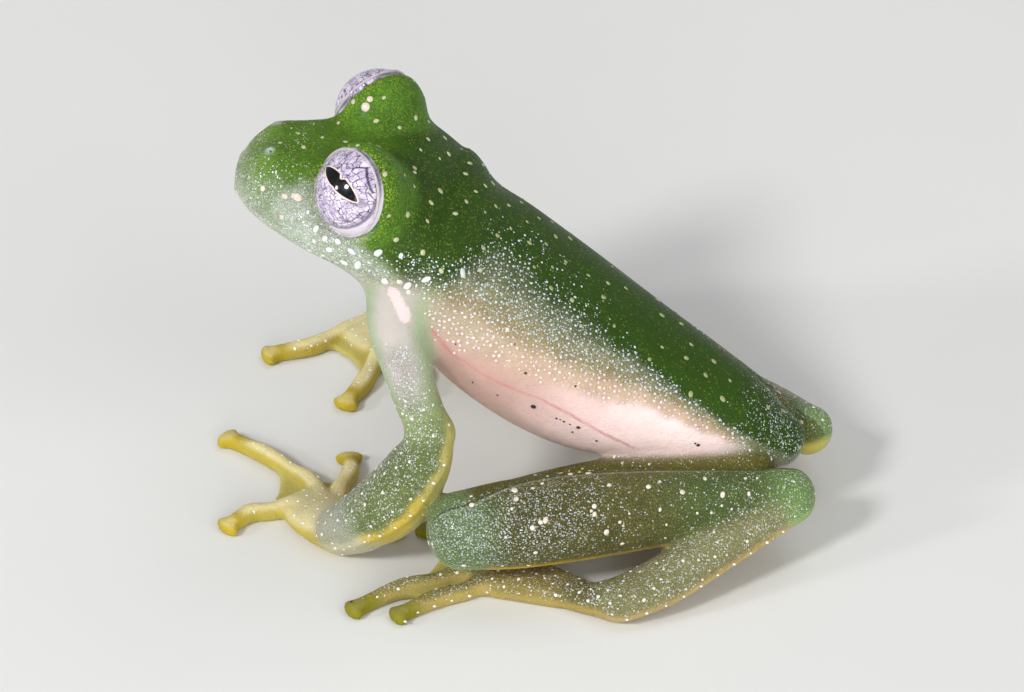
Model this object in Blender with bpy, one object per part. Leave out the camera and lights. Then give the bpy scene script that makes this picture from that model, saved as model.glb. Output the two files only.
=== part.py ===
"""A glass frog at life size, sitting with its forebody raised on its arms.

The frog faces -X, its left side is -Y, and it stands on the plane z = 0.
Sizes are in millimetres and are turned to metres as each mesh is made.
A body part is a loft: rings set along a smooth path, each with its half width,
its reach upwards and its reach downwards, closed by a rounded cap at both ends.
"""

import math

import bmesh
import bpy
import numpy as np
from mathutils import Matrix, Vector

MM = 0.001
GAP = 0.3
HALF_GAP = GAP / 2.0
SLIVER = 0.004
UP = (0.0, 0.0, 1.0)
FORWARD_UP = (1.0, 0.0, 0.0)
UP_AXIS = Vector(UP)
LEFT = -1.0
RIGHT = 1.0
SIDES = {"left": LEFT, "right": RIGHT}

# Trunk: place of each section's centre in x and z, half width, reach up, reach down.
TRUNK = (
    (-0.6, 3.9, 1.3, 1.0, 1.0),
    (-2.6, 4.8, 2.3, 1.7, 1.8),
    (-5.6, 6.0, 3.4, 2.4, 2.8),
    (-8.6, 7.4, 4.3, 2.8, 3.6),
    (-11.6, 9.3, 4.7, 2.9, 3.75),
    (-14.2, 11.3, 4.5, 3.0, 3.5),
    (-16.4, 13.3, 4.1, 2.6, 2.8),
)
TRUNK_SIDES = 26
TRUNK_STEPS = 3

# Head: x and z of each upright section, half width, reach up, reach down.
HEAD = (
    (-23.75, 14.9, 1.2, 0.9, 0.65),
    (-23.2, 14.9, 2.0, 1.5, 1.15),
    (-22.0, 14.9, 2.9, 1.95, 1.85),
    (-20.2, 14.75, 3.8, 2.25, 2.35),
    (-18.3, 14.6, 4.35, 2.5, 2.6),
    (-16.4, 14.3, 4.45, 2.65, 2.6),
    (-14.8, 13.6, 4.2, 2.7, 2.5),
)
HEAD_CORNER = 2.5
BODY_CORNER = 2.15
LIMB_CORNER = 2.1
HEAD_SIDES = 30
HEAD_STEPS = 3
HEAD_YAW = math.radians(4.0)
NECK = Vector((-15.6, 0.0, 13.6))
NECK_NORMAL = Vector((-0.962, 0.0, 0.272))

# Eyes: centre of the left one before the head turns, ball, socket and lid dome.
EYE_X = -18.3
EYE_Y = 3.05
EYE_Z = 16.5
EYE_RADIUS = 1.68
SOCKET_RADIUS = 1.94
DOME_RADIUS = 2.22
LID_PLANE = 0.5
LID_RIM = 0.22
GAZE_OUT = math.radians(50.0)
GAZE_UP = math.radians(27.0)

# Mouth: how far down each side of the head its line runs, as a share of the head's reach
# down, the places along the head where it is read, and the sizes of the line and the lips.
MOUTH_FALL = 0.34
MOUTH_CORNER_X = -16.9
MOUTH_FRONT_X = -23.75
MOUTH_TIP_X = -24.0
MOUTH_STEPS = 9
MOUTH_LINE = 0.13
LIP = 0.21
LIP_STEP = 0.27
LIP_SINK = 0.06

# Nostrils: place of the left one before the head turns, its low swelling and its pit.
NOSTRIL = (-22.27, 1.03, 16.66)
NOSTRIL_SWELL = 0.42
NOSTRIL_PIT = 0.15
NOSTRIL_OUT = (-0.35, 0.55, 0.75)

# Limbs: each row is x, outward distance, z, half width, reach up, reach down.
# The right hand is set wider than the left one, and the right leg is splayed further.
UPPER_ARM = {
    "left": (
        (-15.7, 2.9, 12.6, 1.4, 1.4, 1.4),
        (-16.4, 4.0, 11.2, 1.25, 1.3, 1.3),
        (-15.6, 5.2, 8.8, 1.05, 1.05, 1.05),
        (-14.2, 6.2, 6.9, 1.15, 1.15, 1.15),
    ),
    "right": (
        (-15.7, 2.9, 12.3, 1.4, 1.4, 1.4),
        (-15.8, 4.5, 10.9, 1.25, 1.3, 1.3),
        (-14.9, 6.2, 8.9, 1.05, 1.05, 1.05),
        (-14.1, 7.4, 7.2, 1.15, 1.15, 1.15),
    ),
}
FOREARM = {
    "left": (
        (-13.9, 6.3, 6.7, 1.25, 1.2, 1.2),
        (-14.5, 6.5, 5.2, 1.5, 1.5, 1.5),
        (-16.0, 6.5, 3.4, 1.5, 1.5, 1.55),
        (-17.6, 6.2, 2.0, 1.3, 1.2, 1.35),
        (-18.5, 5.9, 1.3, 1.1, 0.9, 1.1),
    ),
    "right": (
        (-13.9, 7.6, 7.0, 1.2, 1.2, 1.2),
        (-14.6, 8.3, 5.6, 1.4, 1.45, 1.4),
        (-15.9, 9.6, 3.5, 1.5, 1.5, 1.55),
        (-17.5, 10.6, 2.1, 1.3, 1.2, 1.35),
        (-18.5, 11.0, 1.3, 1.1, 0.9, 1.1),
    ),
}
THIGH = (
    (-1.8, 2.0, 3.1, 1.4, 1.5, 1.5),
    (-4.6, 3.0, 2.7, 1.8, 1.9, 1.9),
    (-8.0, 4.2, 2.6, 1.8, 1.8, 1.75),
    (-11.0, 5.8, 2.75, 1.55, 1.5, 1.5),
    (-12.5, 6.9, 2.8, 1.35, 1.3, 1.3),
)
SHANK = (
    (-13.0, 7.8, 3.15, 1.6, 1.65, 1.65),
    (-10.8, 7.0, 3.2, 1.8, 1.9, 1.85),
    (-7.6, 5.7, 3.2, 1.75, 1.85, 1.8),
    (-4.0, 4.2, 3.1, 1.45, 1.6, 1.5),
    (-1.2, 3.0, 3.1, 1.2, 1.3, 1.25),
    (0.15, 2.45, 3.05, 1.1, 1.15, 1.15),
)
TARSUS = (
    (0.15, 2.6, 2.85, 1.1, 1.1, 1.1),
    (-2.4, 5.0, 1.95, 1.15, 0.95, 0.95),
    (-4.6, 7.1, 1.15, 1.15, 0.8, 0.85),
    (-6.3, 8.25, 0.75, 1.05, 0.65, 0.8),
)
LEG_PIVOT = Vector((0.15, 2.5, 3.05))
LEG_SPLAY = {"left": 0.0, "right": math.radians(5.5)}
KNEE_LIFT = {"left": 0.0, "right": 0.8}
# The face where thigh and shank are pressed together, x and outward distance of two points.
KNEE_LINE = ((-13.0, 7.2), (-0.5, 1.0))

# Digits: knuckle's distance and turn from the wrist or ankle, then the digit's own
# length, turn and bend, and its half width. A turn is inward from straight ahead.
WRIST = {"left": (-18.8, 5.5), "right": (-19.0, 11.2)}
HAND = {
    "left": (
        (1.3, 120.0, 2.4, 185.0, -10.0, 0.40),
        (3.2, 79.0, 3.3, 88.0, 8.0, 0.40),
        (4.0, 62.0, 5.4, 31.0, 4.0, 0.45),
        (2.9, 34.0, 3.1, -36.0, 14.0, 0.45),
    ),
    "right": (
        (1.4, 135.0, 2.4, 178.0, -10.0, 0.40),
        (2.8, 100.0, 3.4, 110.0, 8.0, 0.40),
        (3.2, 76.0, 4.4, 79.0, 4.0, 0.45),
        (2.6, 28.0, 4.8, 38.0, 8.0, 0.45),
    ),
}
FINGER_DISC = 0.64
ANKLE = (-6.4, 8.05)
FOOT = {
    "left": (
        (3.8, 27.0, 2.0, 70.0, 6.0, 0.34),
        (5.2, 19.0, 3.0, 60.0, 6.0, 0.36),
        (6.3, 12.0, 4.3, 44.0, 6.0, 0.38),
        (6.5, 5.5, 5.4, -35.0, 8.0, 0.42),
        (5.5, -1.0, 4.5, -34.0, 5.0, 0.42),
    ),
    "right": (
        (3.8, 29.0, 2.4, 55.0, 6.0, 0.34),
        (5.2, 20.0, 3.3, 38.0, 6.0, 0.36),
        (6.3, 11.0, 4.4, 16.0, 4.0, 0.38),
        (6.5, 3.0, 5.4, -8.0, 4.0, 0.42),
        (5.5, -5.0, 4.5, -24.0, 3.0, 0.42),
    ),
}
TOE_DISC = 0.54
DIGIT_RISE = 0.34
WEB_TOP = 0.5
WEB_STEP = 0.035
WEB_SPREAD = 1.04
WEB_REACH = {"hand": (0.25, 0.3, 0.6), "foot": (0.55, 0.6, 0.6, 0.62)}
SINK = 0.08
ROLE_COLOURS = {
    "head": (0.16, 0.33, 0.07),
    "torso": (0.22, 0.36, 0.12),
    "eye": (0.62, 0.58, 0.66),
    "upper": (0.42, 0.47, 0.30),
    "forearm": (0.30, 0.42, 0.16),
    "thigh": (0.55, 0.42, 0.28),
    "shank": (0.20, 0.32, 0.14),
    "tarsus": (0.24, 0.34, 0.14),
    "hand": (0.72, 0.55, 0.18),
    "foot": (0.66, 0.48, 0.16),
}
SKIN_ROUGHNESS = 0.38
EYE_ROUGHNESS = 0.08


def clear_scene():
    for thing in list(bpy.data.objects):
        bpy.data.objects.remove(thing, do_unlink=True)


def smooth_rows(rows, steps):
    """Rows of numbers joined by a Catmull-Rom curve, with steps samples a span."""
    data = np.array(rows, dtype=float)
    first = 2.0 * data[0] - data[1]
    last = 2.0 * data[-1] - data[-2]
    data = np.vstack([first, data, last])
    samples = []
    for k in range(1, len(data) - 2):
        a, b, c, d = data[k - 1], data[k], data[k + 1], data[k + 2]
        for step in range(steps):
            t = step / steps
            samples.append(0.5 * (2 * b + (c - a) * t + (2 * a - 5 * b + 4 * c - d) * t**2
                                  + (3 * b - a - 3 * c + d) * t**3))
    samples.append(data[-2])
    return np.array(samples)


def capped_rows(rows, cap_rings, blunt):
    """The rows with rings added beyond both ends that shrink along a quarter ellipse."""
    tangent_first = rows[0, :3] - rows[1, :3]
    tangent_last = rows[-1, :3] - rows[-2, :3]
    out = list(rows)
    for ring in range(1, cap_rings + 1):
        angle = 0.5 * math.pi * ring / (cap_rings + 1)
        for row, tangent, bluntness, at_start in (
            (rows[0], tangent_first, blunt[0], True),
            (rows[-1], tangent_last, blunt[1], False),
        ):
            unit = tangent / np.linalg.norm(tangent)
            reach = bluntness * row[3:].mean()
            new = row.copy()
            new[:3] += unit * reach * math.sin(angle)
            new[3:] *= math.cos(angle)
            if at_start:
                out.insert(0, new)
            else:
                out.append(new)
    return np.array(out)


def ring_frames(centres, up_hint):
    """A side and an up direction for each centre, square to the path."""
    tangents = np.gradient(centres, axis=0)
    tangents /= np.linalg.norm(tangents, axis=1)[:, None]
    sides = np.cross(tangents, np.array(up_hint, dtype=float))
    sides /= np.linalg.norm(sides, axis=1)[:, None]
    ups = np.cross(sides, tangents)
    return tangents, sides, ups


def loft_mesh(rows, count, up_hint, cap_rings=2, blunt=(1.0, 1.0), upright=False, grow=0.0,
              corner=LIMB_CORNER):
    """A closed bmesh through rings of count points; upright keeps every ring at one x.

    The corner exponent makes a ring an ellipse at 2 and squarer above it.
    """
    rows = capped_rows(rows, cap_rings, blunt)
    rows = rows.copy()
    rows[:, 3:] += grow
    centres = rows[:, :3]
    tangents, sides, ups = ring_frames(centres, up_hint)
    if upright:
        sides[:] = (0.0, 1.0, 0.0)
        ups[:] = (0.0, 0.0, 1.0)
        tangents[:] = (1.0, 0.0, 0.0)
    mesh = bmesh.new()
    rings = []
    for centre, side, up, row in zip(centres, sides, ups, rows):
        ring = []
        for k in range(count):
            angle = 2.0 * math.pi * (k + 0.5) / count
            across = math.copysign(abs(math.cos(angle)) ** (2.0 / corner), math.cos(angle))
            rise = math.copysign(abs(math.sin(angle)) ** (2.0 / corner), math.sin(angle))
            reach = row[4] if rise > 0.0 else row[5]
            point = centre + side * row[3] * across + up * reach * rise
            ring.append(mesh.verts.new(Vector(point) * MM))
        rings.append(ring)
    for near, far in zip(rings, rings[1:]):
        for k in range(count):
            after = (k + 1) % count
            mesh.faces.new((near[k], near[after], far[after]))
            mesh.faces.new((near[k], far[after], far[k]))
    for ring, row, sign in ((rings[0], rows[0], -1.0), (rings[-1], rows[-1], 1.0)):
        index = 0 if sign < 0 else -1
        tip = centres[index] + tangents[index] * sign * 0.12 * row[3:].mean()
        pole = mesh.verts.new(Vector(tip) * MM)
        for k in range(count):
            mesh.faces.new((ring[k], ring[(k + 1) % count], pole))
    bmesh.ops.recalc_face_normals(mesh, faces=mesh.faces)
    if mesh.calc_volume(signed=True) < 0.0:
        bmesh.ops.reverse_faces(mesh, faces=mesh.faces)
    return mesh


def make_object(name, mesh):
    data = bpy.data.meshes.new(name)
    mesh.to_mesh(data)
    mesh.free()
    thing = bpy.data.objects.new(name, data)
    bpy.context.scene.collection.objects.link(thing)
    return thing


def apply_modifiers(thing):
    depsgraph = bpy.context.evaluated_depsgraph_get()
    data = bpy.data.meshes.new_from_object(thing.evaluated_get(depsgraph))
    old = thing.data
    thing.modifiers.clear()
    thing.data = data
    bpy.data.meshes.remove(old)


def combine(thing, others, operation, solver="MANIFOLD"):
    """Join the others to thing, or cut them from it, and remove them."""
    group = bpy.data.collections.new("pieces")
    bpy.context.scene.collection.children.link(group)
    for other in others:
        group.objects.link(other)
    cut = thing.modifiers.new("combine", "BOOLEAN")
    cut.operation = operation
    cut.operand_type = "COLLECTION"
    cut.collection = group
    cut.solver = solver
    apply_modifiers(thing)
    for other in others:
        bpy.data.objects.remove(other, do_unlink=True)
    bpy.data.collections.remove(group)
    return thing


def keep_largest(thing):
    """Drop every closed surface of the mesh but the one with the largest volume."""
    mesh = bmesh.new()
    mesh.from_mesh(thing.data)
    bmesh.ops.triangulate(mesh, faces=mesh.faces)
    mesh.verts.ensure_lookup_table()
    unseen = set(mesh.verts)
    islands = []
    while unseen:
        stack = [unseen.pop()]
        island = set(stack)
        while stack:
            for edge in stack.pop().link_edges:
                for vert in edge.verts:
                    if vert in unseen:
                        unseen.discard(vert)
                        island.add(vert)
                        stack.append(vert)
        islands.append(island)

    def size(island):
        xs = [v.co for v in island]
        spans = [max(c[a] for c in xs) - min(c[a] for c in xs) for a in range(3)]
        return spans[0] * spans[1] * spans[2]

    islands.sort(key=size, reverse=True)
    for island in islands[1:]:
        bmesh.ops.delete(mesh, geom=list(island), context="VERTS")
    bmesh.ops.triangulate(mesh, faces=mesh.faces)
    mesh.to_mesh(thing.data)
    mesh.free()
    return thing


def halve(thing, point, normal):
    """Keep the part of the mesh on the side that the normal points to, closed flat."""
    mesh = bmesh.new()
    mesh.from_mesh(thing.data)
    everything = list(mesh.verts) + list(mesh.edges) + list(mesh.faces)
    bmesh.ops.bisect_plane(mesh, geom=everything, dist=1e-8, plane_co=Vector(point) * MM,
                           plane_no=Vector(normal), clear_inner=True)
    rim = [edge for edge in mesh.edges if edge.is_boundary]
    bmesh.ops.holes_fill(mesh, edges=rim)
    bmesh.ops.triangulate(mesh, faces=mesh.faces)
    mesh.to_mesh(thing.data)
    mesh.free()
    return thing


def mirrored(rows, side):
    """Limb rows with the outward distance turned to y on one side."""
    out = np.array(rows, dtype=float)
    out[:, 1] *= side
    return out


def limb(name, rows, side, count=14, up_hint=UP, steps=3, blunt=(0.9, 0.9), grow=0.0):
    rows = smooth_rows(mirrored(rows, side), steps)
    return make_object(name, loft_mesh(rows, count, up_hint, 2, blunt, grow=grow))


def section_rows(sections, steps):
    """Rows for a loft on the middle plane from x, z, half width, up and down."""
    rows = [(x, 0.0, z, width, up, down) for x, z, width, up, down in sections]
    return smooth_rows(rows, steps)


def trunk_loft(name, grow=0.0):
    rows = section_rows(TRUNK, TRUNK_STEPS)
    mesh = loft_mesh(rows, TRUNK_SIDES, UP, 3, (0.8, 0.8), grow=grow, corner=BODY_CORNER)
    return make_object(name, mesh)


def head_turn():
    return Matrix.Translation(NECK * MM) @ Matrix.Rotation(HEAD_YAW, 4, "Z") @ Matrix.Translation(-NECK * MM)


def turned(thing):
    thing.data.transform(head_turn())
    return thing


def head_loft(name, grow=0.0):
    rows = section_rows(HEAD, HEAD_STEPS)
    mesh = loft_mesh(rows, HEAD_SIDES, UP, 3, (0.35, 0.6), upright=True, grow=grow, corner=HEAD_CORNER)
    return turned(make_object(name, mesh))


def eye_place(side):
    return Vector((EYE_X, side * EYE_Y, EYE_Z))


def gaze(side):
    level = math.cos(GAZE_UP)
    return Vector((-math.cos(GAZE_OUT) * level, side * math.sin(GAZE_OUT) * level, math.sin(GAZE_UP)))


def ball(name, centre, radius, segments=24, rings=14, axis=None):
    mesh = bmesh.new()
    bmesh.ops.create_uvsphere(mesh, u_segments=segments, v_segments=rings, radius=radius * MM)
    if axis is not None:
        turn = Vector((0.0, 0.0, 1.0)).rotation_difference(axis).to_matrix().to_4x4()
        bmesh.ops.transform(mesh, matrix=turn, verts=mesh.verts)
    bmesh.ops.translate(mesh, vec=Vector(centre) * MM, verts=mesh.verts)
    bmesh.ops.triangulate(mesh, faces=mesh.faces)
    return make_object(name, mesh)


def lid_dome(side):
    dome = ball("dome", eye_place(side), DOME_RADIUS, 24, 14, gaze(side))
    look = gaze(side)
    halve(dome, eye_place(side) + look * LID_PLANE, -look)
    return turned(dome)


def lid_rim(side):
    """A round rim along the edge of the lid dome's opening."""
    look = gaze(side)
    spread = math.sqrt(DOME_RADIUS**2 - LID_PLANE**2) - 0.6 * LID_RIM
    turn = UP_AXIS.rotation_difference(look).to_matrix()
    middle = eye_place(side) + look * LID_PLANE
    mesh = bmesh.new()
    around, across = 28, 6
    rings = []
    for k in range(around):
        angle = 2.0 * math.pi * k / around
        ring = []
        for m in range(across):
            roll = 2.0 * math.pi * m / across
            reach = spread + LID_RIM * math.cos(roll)
            place = Vector((reach * math.cos(angle), reach * math.sin(angle), LID_RIM * math.sin(roll)))
            ring.append(mesh.verts.new((middle + turn @ place) * MM))
        rings.append(ring)
    for k in range(around):
        near, far = rings[k], rings[(k + 1) % around]
        for m in range(across):
            after = (m + 1) % across
            mesh.faces.new((near[m], near[after], far[after]))
            mesh.faces.new((near[m], far[after], far[m]))
    bmesh.ops.recalc_face_normals(mesh, faces=mesh.faces)
    return turned(make_object("rim", mesh))


def mouth_path(rise, sink):
    """Points round the jaw from the left corner of the mouth to the right one.

    The path lies on the head's surface, moved up by rise and in by sink.
    """
    table = section_rows(HEAD, 8)
    half = []
    for step in range(MOUTH_STEPS):
        x = MOUTH_CORNER_X + (MOUTH_FRONT_X - MOUTH_CORNER_X) * step / (MOUTH_STEPS - 1)
        z, width, down = (np.interp(x, table[:, 0], table[:, k]) for k in (2, 3, 5))
        share = (MOUTH_FALL * down - rise) / down
        across = (1.0 - abs(share) ** HEAD_CORNER) ** (1.0 / HEAD_CORNER)
        half.append((x, width * across - sink, z - MOUTH_FALL * down + rise))
    tip = (MOUTH_TIP_X + sink, 0.0, half[-1][2] + 0.02)
    left = [(x, -y, z) for x, y, z in half]
    right = [(x, y, z) for x, y, z in reversed(half)]
    return left + [tip] + right


def mouth_tube(name, rise, sink, radius):
    """A round tube along the mouth, thinner at its two ends."""
    points = mouth_path(rise, sink)
    rows = []
    for k, point in enumerate(points):
        ending = min(k, len(points) - 1 - k) / 3.0
        size = radius * (0.55 + 0.45 * min(ending, 1.0))
        rows.append((*point, size, size, size))
    mesh = loft_mesh(np.array(rows), 6, UP, 1, (1.0, 1.0))
    return turned(make_object(name, mesh))


def nostril(name, side, radius, lift):
    out = Vector((NOSTRIL_OUT[0], side * NOSTRIL_OUT[1], NOSTRIL_OUT[2])).normalized()
    place = Vector((NOSTRIL[0], side * NOSTRIL[1], NOSTRIL[2])) + out * lift
    return turned(ball(name, place, radius, 10, 7, out))


def build_head_and_torso():
    body = head_loft("head")
    pieces = [trunk_loft("trunk")]
    pieces += [lid_dome(side) for side in SIDES.values()]
    pieces += [lid_rim(side) for side in SIDES.values()]
    pieces += [mouth_tube("lip", LIP_STEP * way, LIP_SINK, LIP) for way in (1.0, -1.0)]
    pieces += [nostril("swell", side, NOSTRIL_SWELL, -0.15) for side in SIDES.values()]
    combine(body, pieces, "UNION")
    cuts = [turned(ball("socket", eye_place(side), SOCKET_RADIUS, 24, 14, gaze(side)))
            for side in SIDES.values()]
    cuts += [mouth_tube("line", 0.0, -0.02, MOUTH_LINE)]
    cuts += [nostril("pit", side, NOSTRIL_PIT, 0.27) for side in SIDES.values()]
    combine(body, cuts, "DIFFERENCE")
    torso = bpy.data.objects.new("torso", body.data.copy())
    bpy.context.scene.collection.objects.link(torso)
    halve(body, NECK + NECK_NORMAL * HALF_GAP, NECK_NORMAL)
    halve(torso, NECK - NECK_NORMAL * HALF_GAP, -NECK_NORMAL)
    return keep_largest(body), keep_largest(torso)


def joint_plane(rows_in, rows_out, side):
    """Point and normal of the plane that halves the angle between two limb lengths."""
    into = mirrored(rows_in, side)[:, :3]
    out = mirrored(rows_out, side)[:, :3]
    ahead = into[-1] - into[-2]
    onward = out[1] - out[0]
    normal = ahead / np.linalg.norm(ahead) + onward / np.linalg.norm(onward)
    normal /= np.linalg.norm(normal)
    return Vector(0.5 * (into[-1] + out[0])), Vector(normal)


def part_limbs(inner, outer, rows_in, rows_out, side):
    """Cut two limb lengths clear of each other at the joint plane."""
    point, normal = joint_plane(rows_in, rows_out, side)
    halve(inner, point - normal * HALF_GAP, -normal)
    halve(outer, point + normal * HALF_GAP, normal)


def on_plan(origin, distance, turn):
    """A point at a distance and an inward turn from another, as x and outward distance."""
    angle = math.radians(turn)
    return (origin[0] - distance * math.cos(angle), origin[1] - distance * math.sin(angle))


def digit_rows(origin, spec, disc):
    reach, reach_turn, length, turn, bend, half_width = spec
    knuckle = on_plan(origin, reach, reach_turn)
    root = on_plan(origin, 0.45 * reach, reach_turn)
    middle = on_plan(knuckle, 0.5 * length, turn + bend)
    tip = on_plan(knuckle, length - disc, turn)
    neck = (tip[0] + 0.22 * (middle[0] - tip[0]), tip[1] + 0.22 * (middle[1] - tip[1]))
    rise = DIGIT_RISE
    slim = 0.88 * half_width
    return [
        (root[0], root[1], rise, half_width, 0.5, rise + SINK),
        (knuckle[0], knuckle[1], rise, half_width, 0.48, rise + SINK),
        (middle[0], middle[1], rise, slim, 0.42, rise + SINK),
        (neck[0], neck[1], rise, slim, 0.38, rise + SINK),
        (tip[0], tip[1], rise, disc, 0.33, rise + SINK),
    ]


def web(name, origin, first, second, reach, step, side):
    """A thin sheet between two neighbouring digits, with a hollowed front edge.

    The step sets each web's faces a little off its neighbour's, so that none lie in one plane.
    """
    marks = []
    for spec in (first, second):
        knuckle = on_plan(origin, spec[0], spec[1])
        marks.append((on_plan(origin, 0.5 * spec[0], spec[1]), knuckle,
                      on_plan(knuckle, reach * spec[2], spec[3] + 0.5 * spec[4])))
    near, far = marks
    hollow = tuple(0.28 * (near[2][a] + far[2][a]) + 0.22 * (near[1][a] + far[1][a]) for a in (0, 1))
    outline = [near[0], near[1], near[2], hollow, far[2], far[1], far[0]]
    centre = tuple(sum(point[a] for point in outline) / len(outline) for a in (0, 1))
    outline = [tuple(centre[a] + WEB_SPREAD * (point[a] - centre[a]) for a in (0, 1)) for point in outline]
    mesh = bmesh.new()
    offset = WEB_STEP * step
    low = [mesh.verts.new(Vector((x, side * out, -2.0 * SINK - offset)) * MM) for x, out in outline]
    high = [mesh.verts.new(Vector((x, side * out, WEB_TOP + offset)) * MM) for x, out in outline]
    count = len(outline)
    for k in range(count):
        after = (k + 1) % count
        mesh.faces.new((low[k], low[after], high[after], high[k]))
    mesh.faces.new(low)
    mesh.faces.new(high)
    bmesh.ops.triangulate(mesh, faces=mesh.faces)
    bmesh.ops.recalc_face_normals(mesh, faces=mesh.faces)
    return make_object(name, mesh)


def paw(name, core_rows, origin, specs, disc, web_reach, side):
    """A hand or a foot: its core, its digits and the webs between them, flat underneath."""
    whole = limb(name, core_rows, side, 14, UP, 2, (0.6, 0.5))
    pieces = [limb("digit", digit_rows(origin, spec, disc), side, 8, UP, 2, (0.4, 0.75)) for spec in specs]
    for step, (reach, first, second) in enumerate(zip(web_reach, specs, specs[1:])):
        pieces.append(web("web", origin, first, second, reach, step, side))
    combine(whole, pieces, "UNION", "EXACT")
    halve(whole, (0.0, 0.0, 0.0), UP)
    return keep_largest(whole)


def hand(label, side):
    origin = WRIST[label]
    specs = HAND[label]
    mean_turn = 0.5 * (specs[2][1] + specs[3][1])
    middle = on_plan(origin, 1.6, mean_turn)
    front = on_plan(origin, 3.0, mean_turn)
    core = (
        (FOREARM[label][-2][0], FOREARM[label][-2][1], 1.9, 1.0, 0.9, 1.1),
        (origin[0], origin[1], 0.95, 1.1, 0.8, 1.1),
        (middle[0], middle[1], 0.5, 1.35, 0.7, 0.65),
        (front[0], front[1], 0.4, 1.1, 0.5, 0.55),
    )
    return core, paw("hand_" + label, core, origin, specs, FINGER_DISC, WEB_REACH["hand"], side)


def foot(label, side):
    middle = on_plan(ANKLE, 2.4, 7.0)
    front = on_plan(ANKLE, 5.0, 9.0)
    specs = FOOT[label]
    core = (
        (TARSUS[-2][0], TARSUS[-2][1], 1.1, 1.0, 0.65, 0.8),
        (ANKLE[0], ANKLE[1], 0.7, 1.05, 0.6, 0.8),
        (middle[0], middle[1], 0.45, 0.85, 0.5, 0.6),
        (front[0], front[1], 0.4, 0.95, 0.45, 0.55),
    )
    return core, paw("foot_" + label, core, ANKLE, specs, TOE_DISC, WEB_REACH["foot"], side)


def arm(label, side):
    upper = limb("upper_arm_" + label, UPPER_ARM[label], side, 14, FORWARD_UP)
    lower = limb("forearm_" + label, FOREARM[label], side)
    core, palm = hand(label, side)
    part_limbs(upper, lower, UPPER_ARM[label], FOREARM[label], side)
    point, normal = joint_plane(FOREARM[label], core[1:], side)
    halve(lower, point - normal * HALF_GAP, -normal)
    halve(palm, point + normal * HALF_GAP, normal)
    keep_largest(palm)
    combine(upper, [trunk_loft("near", GAP)], "DIFFERENCE")
    combine(upper, [head_loft("near", GAP)], "DIFFERENCE")
    keep_largest(upper)


def splay(thing, label, side):
    """Turn a leg's piece outward about the heel."""
    pivot = Vector((LEG_PIVOT.x, side * LEG_PIVOT.y, LEG_PIVOT.z)) * MM
    turn = Matrix.Rotation(-side * LEG_SPLAY[label], 4, "Z")
    thing.data.transform(Matrix.Translation(pivot) @ turn @ Matrix.Translation(-pivot))
    return thing


def lifted(rows, label):
    """Thigh or shank rows with the knee end raised."""
    out = np.array(rows, dtype=float)
    out[:, 2] += KNEE_LIFT[label] * np.clip(out[:, 0] / THIGH[-1][0], 0.0, 1.0)
    return out


def leg(label, side):
    thigh = limb("thigh_" + label, lifted(THIGH, label), side)
    shank = limb("shank_" + label, lifted(SHANK, label), side)
    tarsus = limb("tarsus_" + label, TARSUS, side, 12)
    core, sole = foot(label, side)
    part_limbs(shank, tarsus, SHANK, TARSUS, side)
    part_limbs(tarsus, sole, TARSUS, core[1:], side)
    keep_largest(sole)
    (x0, out0), (x1, out1) = KNEE_LINE
    point = Vector((x0, side * out0, LEG_PIVOT.z))
    medial = Vector((out1 - out0, -side * (x1 - x0), 0.0)).normalized()
    halve(thigh, point + medial * HALF_GAP, medial)
    halve(shank, point - medial * HALF_GAP, -medial)
    for piece in (thigh, shank, tarsus, sole):
        splay(piece, label, side)
    combine(thigh, [trunk_loft("near", GAP)], "DIFFERENCE")
    keep_largest(thigh)
    halve(tarsus, (0.0, 0.0, 0.0), UP)


def dress(thing):
    """Give a node its own plain material, by the body part that its name starts with."""
    role = thing.name.split("_")[0]
    material = bpy.data.materials.new(thing.name + "_skin")
    material.use_nodes = True
    shader = material.node_tree.nodes["Principled BSDF"]
    shader.inputs["Base Color"].default_value = (*ROLE_COLOURS[role], 1.0)
    shader.inputs["Roughness"].default_value = EYE_ROUGHNESS if role == "eye" else SKIN_ROUGHNESS
    thing.data.materials.clear()
    thing.data.materials.append(material)
    for face in thing.data.polygons:
        face.use_smooth = True
        face.material_index = 0


def centre_on_floor(things):
    """Shift every node so that the origin is under the middle of the whole frog's box."""
    corners = np.array([vert.co for thing in things for vert in thing.data.vertices])
    middle = 0.5 * (corners.min(axis=0) + corners.max(axis=0))
    shift = Matrix.Translation((-middle[0], -middle[1], 0.0))
    for thing in things:
        thing.data.transform(shift)


def main():
    clear_scene()
    build_head_and_torso()
    for label, side in SIDES.items():
        turned(ball("eye_" + label, eye_place(side), EYE_RADIUS, 22, 14, gaze(side)))
        arm(label, side)
        leg(label, side)
    things = list(bpy.context.scene.objects)
    centre_on_floor(things)
    for thing in things:
        dress(thing)


main()
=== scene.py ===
"""The looks of a life-size glass frog that sits with its forebody raised on its arms.

The skin is one closed surface. Every body part is a form that tells how far any point lies
from it, the forms are blended where they grow from each other, and a net of faces is laid
where that distance is zero. Lengths are in millimetres in the frog's own frame, in which it
faces -X with its left side at -Y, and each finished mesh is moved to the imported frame.
"""

import logging
import math
from dataclasses import dataclass, field
from enum import Enum
from typing import Callable

import bmesh
import bpy
import numpy as np
from mathutils import Matrix, Vector

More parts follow.
